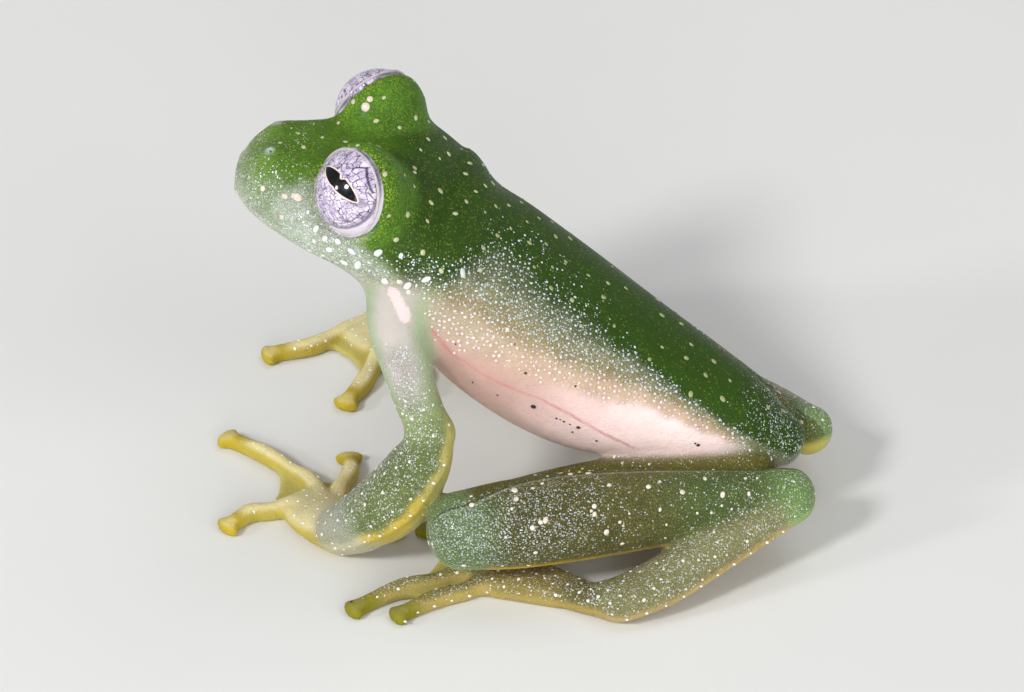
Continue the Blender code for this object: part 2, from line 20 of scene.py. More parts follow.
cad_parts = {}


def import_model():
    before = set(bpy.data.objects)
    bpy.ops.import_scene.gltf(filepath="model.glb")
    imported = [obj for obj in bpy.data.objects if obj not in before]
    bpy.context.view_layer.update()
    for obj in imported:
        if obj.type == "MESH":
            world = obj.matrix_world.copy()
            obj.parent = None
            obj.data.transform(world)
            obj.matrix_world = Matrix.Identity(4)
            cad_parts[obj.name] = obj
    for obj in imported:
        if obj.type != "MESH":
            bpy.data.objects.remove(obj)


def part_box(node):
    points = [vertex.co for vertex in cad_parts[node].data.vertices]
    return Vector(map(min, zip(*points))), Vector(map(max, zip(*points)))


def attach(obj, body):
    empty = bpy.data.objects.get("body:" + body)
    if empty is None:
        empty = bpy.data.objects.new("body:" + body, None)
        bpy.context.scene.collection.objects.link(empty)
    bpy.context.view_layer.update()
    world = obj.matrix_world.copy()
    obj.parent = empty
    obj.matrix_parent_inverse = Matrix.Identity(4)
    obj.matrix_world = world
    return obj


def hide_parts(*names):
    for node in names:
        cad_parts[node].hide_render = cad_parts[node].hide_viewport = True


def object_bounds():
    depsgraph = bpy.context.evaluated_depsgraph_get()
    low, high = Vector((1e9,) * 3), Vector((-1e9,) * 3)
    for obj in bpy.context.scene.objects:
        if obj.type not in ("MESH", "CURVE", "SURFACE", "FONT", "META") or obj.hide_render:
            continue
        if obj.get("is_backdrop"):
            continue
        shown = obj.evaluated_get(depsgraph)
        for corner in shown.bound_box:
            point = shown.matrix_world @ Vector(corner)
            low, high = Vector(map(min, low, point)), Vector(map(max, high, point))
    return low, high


Array = np.ndarray
Rows = tuple[tuple[float, ...], ...]
Colour = tuple[float, float, float]

log = logging.getLogger("glass_frog")

MM = 0.001
UP = (0.0, 0.0, 1.0)
AHEAD_UP = (1.0, 0.0, 0.0)
FAR = 2.2


class Side(Enum):
    """The frog's two sides, with the sign of y on each."""

    LEFT = -1.0
    RIGHT = 1.0

    @property
    def label(self) -> str:
        """The side's name in the CAD nodes."""
        return self.name.lower()


def smooth_step(low: float, high: float, value: Array) -> Array:
    """A soft step from 0 at low to 1 at high."""
    share = np.clip((value - low) / (high - low), 0.0, 1.0)
    return share * share * (3.0 - 2.0 * share)


def bell(value: Array, width: float) -> Array:
    """A bell curve that is 1 at zero and fades within about twice the width."""
    return np.exp(-((value / width) ** 2))


def blend_min(first: Array, second: Array, reach: float) -> Array:
    """The nearer of two distances, with a fillet where they differ by less than reach."""
    close = np.maximum(reach - np.abs(first - second), 0.0) / reach
    return np.minimum(first, second) - close * close * reach * 0.25


def blend_max(first: Array, second: Array, reach: float) -> Array:
    """The farther of two distances, with a rounded edge."""
    return -blend_min(-first, -second, reach)


def smooth_rows(rows: Array, steps: int) -> Array:
    """Rows of numbers joined by a Catmull-Rom curve.

    Args:
        rows: One row for each key section.
        steps: Samples for each span between two rows.

    Returns:
        The sampled rows, ends included.
    """
    data = np.asarray(rows, dtype=float)
    data = np.vstack([2.0 * data[0] - data[1], data, 2.0 * data[-1] - data[-2]])
    samples = []
    for k in range(1, len(data) - 2):
        a, b, c, d = data[k - 1], data[k], data[k + 1], data[k + 2]
        for step in range(steps):
            t = step / steps
            samples.append(
                0.5 * (2 * b + (c - a) * t + (2 * a - 5 * b + 4 * c - d) * t**2
                       + (3 * b - a - 3 * c + d) * t**3))
    samples.append(data[-2])
    return np.array(samples)


def on_plan(origin: tuple[float, float], distance: float, turn: float) -> tuple[float, float]:
    """A point at a distance and an inward turn in degrees, as x and outward distance."""
    angle = math.radians(turn)
    return (origin[0] - distance * math.cos(angle), origin[1] - distance * math.sin(angle))


@dataclass
class Place:
    """Where points lie on a tube: along it, across it, above its middle, and how far off."""

    along: Array
    across: Array
    rise: Array
    distance: Array


@dataclass
class Tube:
    """A body part along a smooth path, with an oval section.

    Each row is x, outward distance, z, half width, reach up and reach down.
    """

    rows: Rows
    side: Side
    up_hint: tuple[float, float, float] = UP
    corner: float = 2.1
    blunt: tuple[float, float] = (0.9, 0.9)
    steps: int = 6

    def __post_init__(self) -> None:
        """Sample the path and its section frames once."""
        data = np.array(self.rows, dtype=float)
        data[:, 1] *= self.side.value
        data = smooth_rows(data, self.steps)
        self.centres = data[:, :3]
        self.sizes = np.maximum(data[:, 3:], 0.06)
        tangents = np.gradient(self.centres, axis=0)
        self.tangents = tangents / np.linalg.norm(tangents, axis=1)[:, None]
        across = np.cross(self.tangents, np.array(self.up_hint))
        self.across = across / np.linalg.norm(across, axis=1)[:, None]
        self.ups = np.cross(self.across, self.tangents)
        lengths = np.linalg.norm(np.diff(self.centres, axis=0), axis=1)
        self.travel = np.concatenate([[0.0], np.cumsum(lengths)]) / lengths.sum()
        reach = self.sizes.max() + FAR
        self.low = self.centres.min(axis=0) - reach
        self.high = self.centres.max(axis=0) + reach
        self.outward = np.sign(self.across[:, 1].sum() * self.side.value) or 1.0

    def turned(self, turn: Matrix) -> "Tube":
        """Turn the whole path and its frames, as for a splayed leg."""
        spin = np.array(turn.to_3x3())
        shift = np.array(turn.translation)
        self.centres = self.centres @ spin.T + shift
        for name in ("tangents", "across", "ups"):
            setattr(self, name, getattr(self, name) @ spin.T)
        reach = self.sizes.max() + FAR
        self.low = self.centres.min(axis=0) - reach
        self.high = self.centres.max(axis=0) + reach
        return self

    def locate(self, points: Array) -> Place:
        """Find each point's place along and around the tube.

        Args:
            points: Rows of x, y and z.

        Returns:
            The place of each point, with across positive outward.
        """
        best = np.full(len(points), np.inf)
        index = np.zeros(len(points), dtype=int)
        share = np.zeros(len(points))
        for k in range(len(self.centres) - 1):
            start = self.centres[k]
            span = self.centres[k + 1] - start
            along = np.clip((points - start) @ span / (span @ span), 0.0, 1.0)
            gap = points - start - along[:, None] * span
            far = np.einsum("ij,ij->i", gap, gap)
            nearer = far < best
            best[nearer] = far[nearer]
            index[nearer] = k
            share[nearer] = along[nearer]

        def between(values: Array) -> Array:
            weight = share if values.ndim == 1 else share[:, None]
            return values[index] * (1.0 - weight) + values[index + 1] * weight

        gap = points - between(self.centres)
        a = np.einsum("ij,ij->i", gap, between(self.across))
        b = np.einsum("ij,ij->i", gap, between(self.ups))
        c = np.einsum("ij,ij->i", gap, between(self.tangents))
        sizes = between(self.sizes)
        width = sizes[:, 0]
        reach = np.where(b > 0.0, sizes[:, 1], sizes[:, 2])
        cap = np.where(c < 0.0, self.blunt[0], self.blunt[1]) * sizes.mean(axis=1)
        n = self.corner
        ring = ((np.abs(a) / width) ** n + (np.abs(b) / reach) ** n) ** (1.0 / n)
        ratio = np.maximum(np.sqrt(ring**2 + (c / cap) ** 2), 1e-3)
        length = np.sqrt(a * a + b * b + c * c)
        return Place(between(self.travel), self.outward * a / width, b / reach,
                     length * (1.0 - 1.0 / ratio))

    def distance(self, points: Array) -> Array:
        """How far each point is from the tube's surface, negative inside."""
        out = np.full(len(points), FAR)
        near = np.all((points > self.low) & (points < self.high), axis=1)
        if near.any():
            out[near] = np.minimum(self.locate(points[near]).distance, FAR)
        return out


@dataclass
class Sheet:
    """A thin level web inside an outline of x and outward distance."""

    outline: tuple[tuple[float, float], ...]
    side: Side
    middle: float
    half: float
    turn: Matrix | None = None

    def distance(self, points: Array) -> Array:
        """How far each point is from the web's surface, negative inside."""
        if self.turn is not None:
            back = self.turn.inverted()
            points = points @ np.array(back.to_3x3()).T + np.array(back.translation)
        corners = np.array(self.outline) * (1.0, self.side.value)
        out = np.full(len(points), FAR)
        low = np.append(corners.min(axis=0), self.middle) - FAR
        high = np.append(corners.max(axis=0), self.middle) + FAR
        near = np.all((points > low) & (points < high), axis=1)
        if not near.any():
            return out
        spot = points[near]
        flat = spot[:, :2]
        best = np.full(len(flat), np.inf)
        inside = np.zeros(len(flat), dtype=bool)
        for start, end in zip(corners, np.roll(corners, -1, axis=0)):
            span = end - start
            along = np.clip((flat - start) @ span / (span @ span), 0.0, 1.0)
            gap = flat - start - along[:, None] * span
            best = np.minimum(best, np.hypot(gap[:, 0], gap[:, 1]))
            crosses = (start[1] > flat[:, 1]) != (end[1] > flat[:, 1])
            rise = np.where(crosses, end[1] - start[1], 1.0)
            where = start[0] + (flat[:, 1] - start[1]) * span[0] / rise
            inside ^= crosses & (flat[:, 0] < where)
        edge = np.where(inside, -best, best)
        out[near] = np.minimum(blend_max(edge, np.abs(spot[:, 2] - self.middle) - self.half, 0.12), FAR)
        return out


@dataclass(frozen=True)
class Swell:
    """A soft rise of the skin, or a hollow where its height is negative."""

    centre: tuple[float, float, float]
    radius: float
    height: float


@dataclass
class Head:
    """The head with its eye domes, lids, mouth line and nostrils."""

    sections: Rows = (
        (-23.75, 14.95, 1.2, 0.85, 0.6),
        (-23.2, 14.95, 1.95, 1.45, 1.08),
        (-22.0, 14.9, 2.85, 1.95, 1.75),
        (-20.2, 14.75, 3.8, 2.25, 2.35),
        (-18.3, 14.6, 4.35, 2.5, 2.6),
        (-16.4, 14.3, 4.45, 2.38, 2.6),
        (-14.8, 13.6, 4.2, 1.6, 2.5),
    )
    corner: float = 2.5
    caps: tuple[float, float] = (0.2, 1.3)
    neck: tuple[float, float, float] = (-15.6, 0.0, 13.6)
    yaw: float = math.radians(4.0)
    eye: tuple[float, float, float] = (-18.3, 3.05, 16.5)
    eye_radius: float = 1.88
    lid_radius: float = 2.02
    lid_blend: float = 0.75
    gaze_out: float = math.radians(50.0)
    gaze_up: float = math.radians(27.0)
    lids_out: float = math.radians(47.0)
    lids_up: float = math.radians(18.5)
    opening: float = math.radians(71.0)
    socket: tuple[float, float, float] = (0.5, 1.85, 0.8)
    mouth_fall: float = 0.5
    mouth_corner: float = -16.3
    nostril: tuple[float, float, float] = (-22.27, 1.03, 16.72)
    swells: tuple[Swell, ...] = (
        Swell((-22.3, 1.05, 16.6), 0.75, 0.3),
        Swell((-21.1, 3.15, 15.4), 1.0, -0.16),
        Swell((-20.6, 2.5, 16.4), 0.8, 0.07),
        Swell((-18.5, 0.0, 17.1), 1.3, -0.2),
        Swell((-18.6, 4.3, 13.7), 1.1, 0.06),
        Swell((-16.4, 4.2, 14.9), 0.55, -0.07),
        Swell((-23.2, 0.0, 16.2), 0.7, -0.06),
    )

    def __post_init__(self) -> None:
        """Sample the sections and set the gaze."""
        self.table = smooth_rows(np.array(self.sections), 12)
        self.gaze, self.lid_axis = (
            np.array([-math.cos(out) * math.cos(rise), math.sin(out) * math.cos(rise), math.sin(rise)])
            for out, rise in ((self.gaze_out, self.gaze_up), (self.lids_out, self.lids_up)))

    def turn(self) -> Matrix:
        """The head's slight turn to its left about the neck."""
        pivot = Vector(self.neck)
        return Matrix.Translation(pivot) @ Matrix.Rotation(self.yaw, 4, "Z") @ Matrix.Translation(-pivot)

    def unturned(self, points: Array) -> Array:
        """Points as they would lie on a head that looks straight ahead."""
        back = self.turn().inverted()
        return points @ np.array(back.to_3x3()).T + np.array(back.translation)

    def section(self, x: Array) -> tuple[Array, Array, Array, Array]:
        """Height of the middle, half width, reach up and reach down at each x."""
        return tuple(np.interp(x, self.table[:, 0], self.table[:, k]) for k in (1, 2, 3, 4))

    def above_mouth(self, spots: Array) -> Array:
        """Height of unturned points over the line of the mouth."""
        middle, _, _, down = self.section(spots[:, 0])
        droop = 0.45 * smooth_step(-18.2, -15.8, spots[:, 0])
        return spots[:, 2] - (middle - self.mouth_fall * down - droop)

    def base(self, spots: Array) -> Array:
        """Distance from the plain head without eyes or mouth."""
        x = np.clip(spots[:, 0], self.table[0, 0], self.table[-1, 0])
        middle, width, up, down = self.section(x)
        c = spots[:, 0] - x
        dz = spots[:, 2] - middle
        reach = np.where(dz > 0.0, up, down)
        n = self.corner
        ring = ((np.abs(spots[:, 1]) / width) ** n + (np.abs(dz) / reach) ** n) ** (1.0 / n)
        cap = np.where(c < 0.0, *self.caps)
        ratio = np.maximum(np.sqrt(ring**2 + (c / cap) ** 2), 1e-3)
        return np.sqrt(spots[:, 1] ** 2 + dz**2 + c**2) * (1.0 - 1.0 / ratio)

    def eye_angles(self, spots: Array) -> tuple[Array, Array]:
        """Distance from the nearer eye's centre, and the angle from the lids' axis."""
        mirrored = spots * (1.0, 0.0, 1.0) + np.abs(spots) * (0.0, 1.0, 0.0)
        gap = mirrored - np.array(self.eye)
        far = np.maximum(np.linalg.norm(gap, axis=1), 1e-6)
        return far, np.arccos(np.clip(gap @ self.lid_axis / far, -1.0, 1.0))

    def distance(self, points: Array) -> Array:
        """How far each point is from the head's skin, negative inside."""
        out = np.full(len(points), FAR)
        low = np.array([-24.6, -5.6, 10.4]) - FAR
        high = np.array([-12.8, 5.6, 18.8]) + FAR
        near = np.all((points > low) & (points < high), axis=1)
        if not near.any():
            return out
        spots = self.unturned(points[near])
        skin = self.base(spots)
        mirrored = spots * (1.0, 0.0, 1.0) + np.abs(spots) * (0.0, 1.0, 0.0)
        for swell in self.swells:
            gap = np.linalg.norm(mirrored - np.array(swell.centre), axis=1)
            skin -= swell.height * bell(gap, swell.radius)
        far, angle = self.eye_angles(spots)
        skin = blend_min(skin, far - self.lid_radius, self.lid_blend)
        skin = self.open_lids(skin, far, angle)
        skin = self.line_mouth(skin, spots)
        skin = self.pierce_nostril(skin, mirrored)
        out[near] = np.minimum(skin, FAR)
        return out

    def open_lids(self, skin: Array, far: Array, angle: Array) -> Array:
        """Sink a shallow bowl round the eye and cut the skin away in front of the eyeball."""
        height, radius, slope = self.socket
        bowl = far * np.cos(angle) - height - slope * np.maximum(far * np.sin(angle) - radius, 0.0)
        skin = blend_max(skin, 0.78 * bowl, 0.5)
        across = (self.opening - angle) * self.eye_radius
        hollow = np.minimum(across, far - (self.eye_radius - 0.14))
        return blend_max(skin, np.minimum(hollow, 2.3 - far), 0.1)

    def line_mouth(self, skin: Array, spots: Array) -> Array:
        """Draw in the line of the mouth under a slight upper lip."""
        above = self.above_mouth(spots)
        there = smooth_step(self.mouth_corner, self.mouth_corner - 0.6, spots[:, 0])
        groove = 0.13 * bell(above, 0.09)
        lip = 0.06 * bell(above - 0.22, 0.16)
        jaw = 0.1 * smooth_step(0.05, -0.35, above)
        return skin + there * (groove - lip + jaw)

    def pierce_nostril(self, skin: Array, mirrored: Array) -> Array:
        """Raise a small ring round each nostril and open its pit."""
        gap = np.linalg.norm(mirrored - np.array(self.nostril), axis=1)
        ring = 0.13 * bell(gap - 0.25, 0.11)
        return blend_max(skin - ring, 0.16 - gap, 0.05)


@dataclass
class Trunk(Tube):
    """The trunk, from the vent to the neck."""

    rows: Rows = (
        (-0.6, 0.0, 3.9, 1.3, 1.0, 1.0),
        (-2.6, 0.0, 4.8, 2.3, 1.7, 1.8),
        (-5.6, 0.0, 6.0, 3.4, 2.4, 3.1),
        (-8.6, 0.0, 7.4, 4.3, 2.8, 4.05),
        (-11.6, 0.0, 9.3, 4.7, 2.95, 4.15),
        (-14.2, 0.0, 11.3, 4.5, 2.88, 3.7),
        (-16.4, 0.0, 13.3, 4.1, 1.8, 2.8),
    )
    side: Side = Side.RIGHT
    corner: float = 2.15
    blunt: tuple[float, float] = (0.8, 0.8)
    steps: int = 7


@dataclass
class Paw:
    """A hand or a foot: its core, its digits with their discs, and the webs between them.

    Each digit is its knuckle's distance and turn from the origin, then its own length,
    turn, bend and half width. A turn is inward from straight ahead, in degrees.
    """

    side: Side
    origin: tuple[float, float]
    core: Rows
    digits: Rows
    disc: float
    web_reach: tuple[float, ...]
    turn: Matrix | None = None
    rise: float = 0.34
    sink: float = 0.06
    web_middle: float = 0.17
    web_half: float = 0.13

    def __post_init__(self) -> None:
        """Make the forms that the paw is blended from."""
        self.palm = Tube(self.core, self.side, blunt=(0.6, 0.5), steps=5)
        self.tubes = [Tube(self.digit_rows(spec), self.side, corner=2.2, blunt=(0.4, 0.8), steps=4)
                      for spec in self.digits]
        if self.turn is not None:
            for tube in [self.palm, *self.tubes]:
                tube.turned(self.turn)
        self.webs = [self.web(near, far, reach)
                     for near, far, reach in zip(self.digits, self.digits[1:], self.web_reach)]

    def digit_rows(self, spec: tuple[float, ...]) -> Rows:
        """Key sections of one digit, from its root in the palm to its disc."""
        reach, reach_turn, length, turn, bend, half = spec
        knuckle = on_plan(self.origin, reach, reach_turn)
        root = on_plan(self.origin, 0.45 * reach, reach_turn)
        middle = on_plan(knuckle, 0.5 * length, turn + bend)
        tip = on_plan(knuckle, length - self.disc, turn)
        neck = tuple(tip[a] + 0.24 * (middle[a] - tip[a]) for a in (0, 1))
        first = tuple(0.5 * (knuckle[a] + middle[a]) for a in (0, 1))
        rise, sink = self.rise, self.rise + self.sink
        return (
            (*root, rise, half, 0.5, sink),
            (*knuckle, rise, 1.08 * half, 0.5, sink),
            (*first, rise, 0.86 * half, 0.4, sink),
            (*middle, rise, 0.96 * half, 0.43, sink),
            (*neck, rise - 0.02, 0.82 * half, 0.34, sink),
            (*tip, rise - 0.04, self.disc, 0.27, sink),
        )

    def web(self, near: tuple[float, ...], far: tuple[float, ...], reach: float) -> Sheet:
        """The web between two neighbouring digits, with a hollowed front edge."""
        marks = []
        for spec in (near, far):
            knuckle = on_plan(self.origin, spec[0], spec[1])
            marks.append((on_plan(self.origin, 0.5 * spec[0], spec[1]), knuckle,
                          on_plan(knuckle, reach * spec[2], spec[3] + 0.5 * spec[4])))
        one, two = marks
        hollow = []
        for share in (0.25, 0.5, 0.75):
            depth = 0.26 * math.sin(math.pi * share)
            out = tuple((1 - share) * one[2][a] + share * two[2][a] for a in (0, 1))
            back = tuple((1 - share) * one[1][a] + share * two[1][a] for a in (0, 1))
            hollow.append(tuple(out[a] + depth * (back[a] - out[a]) for a in (0, 1)))
        outline = (one[0], one[1], one[2], *hollow, two[2], two[1], two[0])
        return Sheet(outline, self.side, self.web_middle, self.web_half, self.turn)

    def distance(self, points: Array) -> Array:
        """How far each point is from the paw, negative inside."""
        whole = self.palm.distance(points)
        for tube in self.tubes:
            whole = blend_min(whole, tube.distance(points), 0.3)
        for sheet in self.webs:
            whole = blend_min(whole, sheet.distance(points), 0.22)
        return whole


UPPER_ARM: dict[Side, Rows] = {
    Side.LEFT: (
        (-15.7, 2.9, 12.6, 1.4, 1.4, 1.4),
        (-16.4, 4.0, 11.2, 1.25, 1.3, 1.3),
        (-15.65, 5.2, 8.8, 1.0, 1.0, 1.0),
        (-14.7, 6.1, 6.9, 0.9, 0.9, 0.9),
    ),
    Side.RIGHT: (
        (-15.7, 2.9, 12.3, 1.4, 1.4, 1.4),
        (-15.8, 4.5, 10.9, 1.25, 1.3, 1.3),
        (-14.9, 6.2, 8.9, 1.05, 1.05, 1.05),
        (-14.1, 7.4, 7.2, 1.1, 1.1, 1.1),
    ),
}
FOREARM: dict[Side, Rows] = {
    Side.LEFT: (
        (-14.5, 6.1, 6.7, 0.9, 0.9, 0.9),
        (-15.0, 6.35, 5.2, 1.2, 1.35, 1.25),
        (-16.1, 6.5, 3.4, 1.45, 1.5, 1.5),
        (-17.6, 6.2, 2.0, 1.3, 1.2, 1.35),
        (-18.5, 5.9, 1.3, 1.1, 0.9, 1.1),
    ),
    Side.RIGHT: (
        (-13.9, 7.6, 7.0, 1.2, 1.15, 1.15),
        (-14.6, 8.3, 5.6, 1.4, 1.45, 1.4),
        (-15.9, 9.6, 3.5, 1.5, 1.5, 1.55),
        (-17.5, 10.6, 2.1, 1.3, 1.2, 1.35),
        (-18.5, 11.0, 1.3, 1.1, 0.9, 1.1),
    ),
}
THIGH: Rows = (
    (-1.8, 2.0, 3.1, 1.4, 1.5, 1.5),
    (-4.6, 3.0, 2.7, 1.8, 1.9, 1.9),
    (-8.0, 4.2, 2.6, 1.8, 1.8, 1.75),
    (-11.0, 5.8, 2.75, 1.55, 1.5, 1.5),
    (-12.5, 6.9, 2.8, 1.35, 1.3, 1.3),
)
SHANK: dict[Side, Rows] = {
    Side.LEFT: (
        (-13.0, 7.8, 3.15, 1.6, 1.65, 1.65),
        (-10.8, 7.0, 3.2, 1.8, 1.9, 1.85),
        (-7.6, 5.7, 3.2, 1.75, 1.85, 1.8),
        (-4.0, 4.2, 3.1, 1.45, 1.6, 1.5),
        (-1.2, 3.0, 3.1, 1.15, 1.25, 1.2),
        (0.15, 2.45, 3.0, 1.0, 1.05, 1.05),
    ),
    Side.RIGHT: (
        (-13.0, 7.8, 3.15, 1.6, 1.65, 1.65),
        (-10.8, 7.0, 3.2, 1.8, 1.9, 1.85),
        (-7.6, 5.7, 3.1, 1.7, 1.75, 1.75),
        (-4.0, 4.2, 2.85, 1.35, 1.3, 1.35),
        (-1.2, 3.0, 2.7, 1.05, 0.85, 1.0),
        (0.15, 2.45, 2.85, 0.95, 0.9, 0.95),
    ),
}
TARSUS: Rows = (
    (0.15, 2.6, 2.8, 1.0, 0.95, 1.05),
    (-2.4, 5.0, 1.95, 1.15, 0.95, 0.95),
    (-4.6, 7.1, 1.15, 1.15, 0.8, 0.85),
    (-6.3, 8.25, 0.75, 1.05, 0.65, 0.8),
)
HAND: dict[Side, Rows] = {
    Side.LEFT: (
        (1.3, 120.0, 2.4, 185.0, -10.0, 0.40),
        (3.2, 79.0, 3.3, 88.0, 8.0, 0.40),
        (4.0, 62.0, 5.75, 33.0, 4.0, 0.42),
        (2.9, 34.0, 3.45, -34.0, 14.0, 0.42),
    ),
    Side.RIGHT: (
        (1.4, 135.0, 2.4, 178.0, -10.0, 0.40),
        (2.8, 100.0, 3.4, 110.0, 8.0, 0.40),
        (3.2, 76.0, 4.4, 79.0, 4.0, 0.45),
        (2.6, 28.0, 4.8, 38.0, 8.0, 0.45),
    ),
}
FOOT: dict[Side, Rows] = {
    Side.LEFT: (
        (3.8, 27.0, 2.0, 70.0, 6.0, 0.34),
        (5.2, 19.0, 3.0, 60.0, 6.0, 0.36),
        (6.3, 12.0, 4.3, 44.0, 6.0, 0.38),
        (6.5, 8.0, 5.83, -36.1, 8.0, 0.40),
        (5.5, 3.5, 4.76, -38.3, 5.0, 0.40),
    ),
    Side.RIGHT: (
        (3.8, 29.0, 2.4, 55.0, 6.0, 0.34),
        (5.2, 20.0, 3.3, 38.0, 6.0, 0.36),
        (6.3, 11.0, 4.4, 16.0, 4.0, 0.38),
        (6.5, 3.0, 5.4, -8.0, 4.0, 0.42),
        (5.5, -5.0, 4.5, -24.0, 3.0, 0.42),
    ),
}
WRIST = {Side.LEFT: (-18.8, 5.5), Side.RIGHT: (-19.0, 11.2)}
ANKLE = (-6.4, 8.05)
HEEL = (0.15, 2.5, 3.05)
SPLAY = {Side.LEFT: 0.0, Side.RIGHT: math.radians(5.5)}
KNEE_LIFT = {Side.LEFT: 0.0, Side.RIGHT: 0.8}
KNEE_X = -12.5


@dataclass
class Arm:
    """One arm: upper arm, forearm with the fold along its outer edge, and hand."""

    side: Side

    def __post_init__(self) -> None:
        """Make the arm's forms."""
        self.upper = Tube(UPPER_ARM[self.side], self.side, AHEAD_UP)
        self.fore = Tube(FOREARM[self.side], self.side)
        origin = WRIST[self.side]
        digits = HAND[self.side]
        facing = 0.5 * (digits[2][1] + digits[3][1])
        middle = on_plan(origin, 1.6, facing)
        front = on_plan(origin, 3.0, facing)
        root = FOREARM[self.side][-2]
        core = (
            (root[0], root[1], 1.9, 1.0, 0.9, 1.1),
            (*origin, 0.95, 1.1, 0.8, 1.1),
            (*middle, 0.5, 1.35, 0.7, 0.65),
            (*front, 0.4, 1.1, 0.5, 0.55),
        )
        self.hand = Paw(self.side, origin, core, digits, 0.6, (0.22, 0.26, 0.36))
        self.fold = Tube(edge_rows(self.fore, 0.93, -0.35, 0.12, (0.1, 1.0)), Side.RIGHT, corner=2.0)

    def distance(self, points: Array) -> Array:
        """How far each point is from the arm, negative inside."""
        whole = blend_min(self.upper.distance(points), self.fore.distance(points), 0.5)
        whole = blend_min(whole, self.fold.distance(points), 0.3)
        return blend_min(whole, self.hand.distance(points), 0.6)


def edge_rows(tube: Tube, outward: float, rise: float, size: float, span: tuple[float, float]) -> Rows:
    """Key sections for a thin fold along a limb's outer edge.

    Args:
        tube: The limb.
        outward: Place across the limb, as a share of its half width.
        rise: Place above its middle, as a share of its reach.
        size: Half thickness of the fold.
        span: Shares of the limb's length where the fold starts and ends.

    Returns:
        Rows in the frog's own frame.
    """
    chosen = [k for k, share in enumerate(tube.travel) if span[0] <= share <= span[1]]
    rows = []
    for k in chosen[::3] + ([chosen[-1]] if (len(chosen) - 1) % 3 else []):
        width, up, down = tube.sizes[k]
        place = (tube.centres[k] + tube.across[k] * tube.outward * outward * width
                 + tube.ups[k] * rise * (up if rise > 0.0 else down))
        rows.append((*place, size, size, size))
    return tuple(rows)


@dataclass
class Leg:
    """One folded hind leg: thigh, shank, tarsus and foot."""

    side: Side

    def __post_init__(self) -> None:
        """Make the leg's forms and splay them about the heel."""
        side = self.side
        pivot = Vector((HEEL[0], side.value * HEEL[1], HEEL[2]))
        spin = Matrix.Rotation(-side.value * SPLAY[side], 4, "Z")
        turn = Matrix.Translation(pivot) @ spin @ Matrix.Translation(-pivot)
        self.thigh = Tube(self.lifted(THIGH), side).turned(turn)
        self.shank = Tube(self.lifted(SHANK[side]), side).turned(turn)
        self.tarsus = Tube(TARSUS, side).turned(turn)
        middle = on_plan(ANKLE, 2.4, 7.0)
        front = on_plan(ANKLE, 5.0, 9.0)
        core = (
            (TARSUS[-2][0], TARSUS[-2][1], 1.1, 1.0, 0.65, 0.8),
            (*ANKLE, 0.7, 0.92, 0.6, 0.8),
            (*middle, 0.45, 0.66, 0.5, 0.6),
            (*front, 0.4, 0.95, 0.45, 0.55),
        )
        self.foot = Paw(side, ANKLE, core, FOOT[side], 0.53, (0.55, 0.6, 0.6, 0.62), turn)
        self.fold = Tube(edge_rows(self.tarsus, 0.95, -0.25, 0.12, (0.12, 1.0)), Side.RIGHT, corner=2.0)

    def lifted(self, rows: Rows) -> Rows:
        """Thigh or shank rows with the knee end raised."""
        out = np.array(rows)
        out[:, 2] += KNEE_LIFT[self.side] * np.clip(out[:, 0] / KNEE_X, 0.0, 1.0)
        return tuple(map(tuple, out))

    def distance(self, points: Array) -> Array:
        """How far each point is from the leg, negative inside."""
        thigh, shank = self.thigh.distance(points), self.shank.distance(points)
        whole = blend_min(thigh, shank, 0.15) + 0.13 * bell(thigh - shank, 0.22)
        lower = blend_min(self.tarsus.distance(points), self.fold.distance(points), 0.25)
        lower = blend_min(lower, self.foot.distance(points), 0.5)
        return blend_min(whole, lower, 0.35)


@dataclass
class Frog:
    """All the forms of the frog's body, blended into one skin."""

    head: Head = field(default_factory=Head)
    trunk: Trunk = field(default_factory=Trunk)
    arms: dict[Side, Arm] = field(default_factory=lambda: {side: Arm(side) for side in Side})
    legs: dict[Side, Leg] = field(default_factory=lambda: {side: Leg(side) for side in Side})

    def distance(self, points: Array) -> Array:
        """How far each point is from the skin, negative inside."""
        skin = blend_min(self.head.distance(points), self.trunk.distance(points), 1.8)
        for side in Side:
            skin = blend_min(skin, self.arms[side].distance(points), 0.9)
        for side in Side:
            skin = blend_min(skin, self.legs[side].distance(points), 0.4)
        return blend_max(skin, -points[:, 2], 0.05)

    def slope(self, points: Array, step: float = 0.01) -> tuple[Array, Array]:
        """The distance at each point and the direction in which it grows."""
        here = self.distance(points)
        slope = np.empty_like(points)
        for axis in range(3):
            moved = points.copy()
            moved[:, axis] += step
            slope[:, axis] = (self.distance(moved) - here) / step
        return here, slope


@dataclass
class Net:
    """A surface as points and four-sided faces."""

    points: Array
    faces: Array


def stretch(stops: tuple[tuple[float, float], ...]) -> Array:
    """Grid lines between stops, each stop being a place and the spacing from there on."""
    lines = [stops[0][0]]
    for (_, pitch), (end, _) in zip(stops, stops[1:]):
        while lines[-1] < end - 1e-9:
            lines.append(lines[-1] + pitch)
    return np.array(lines)


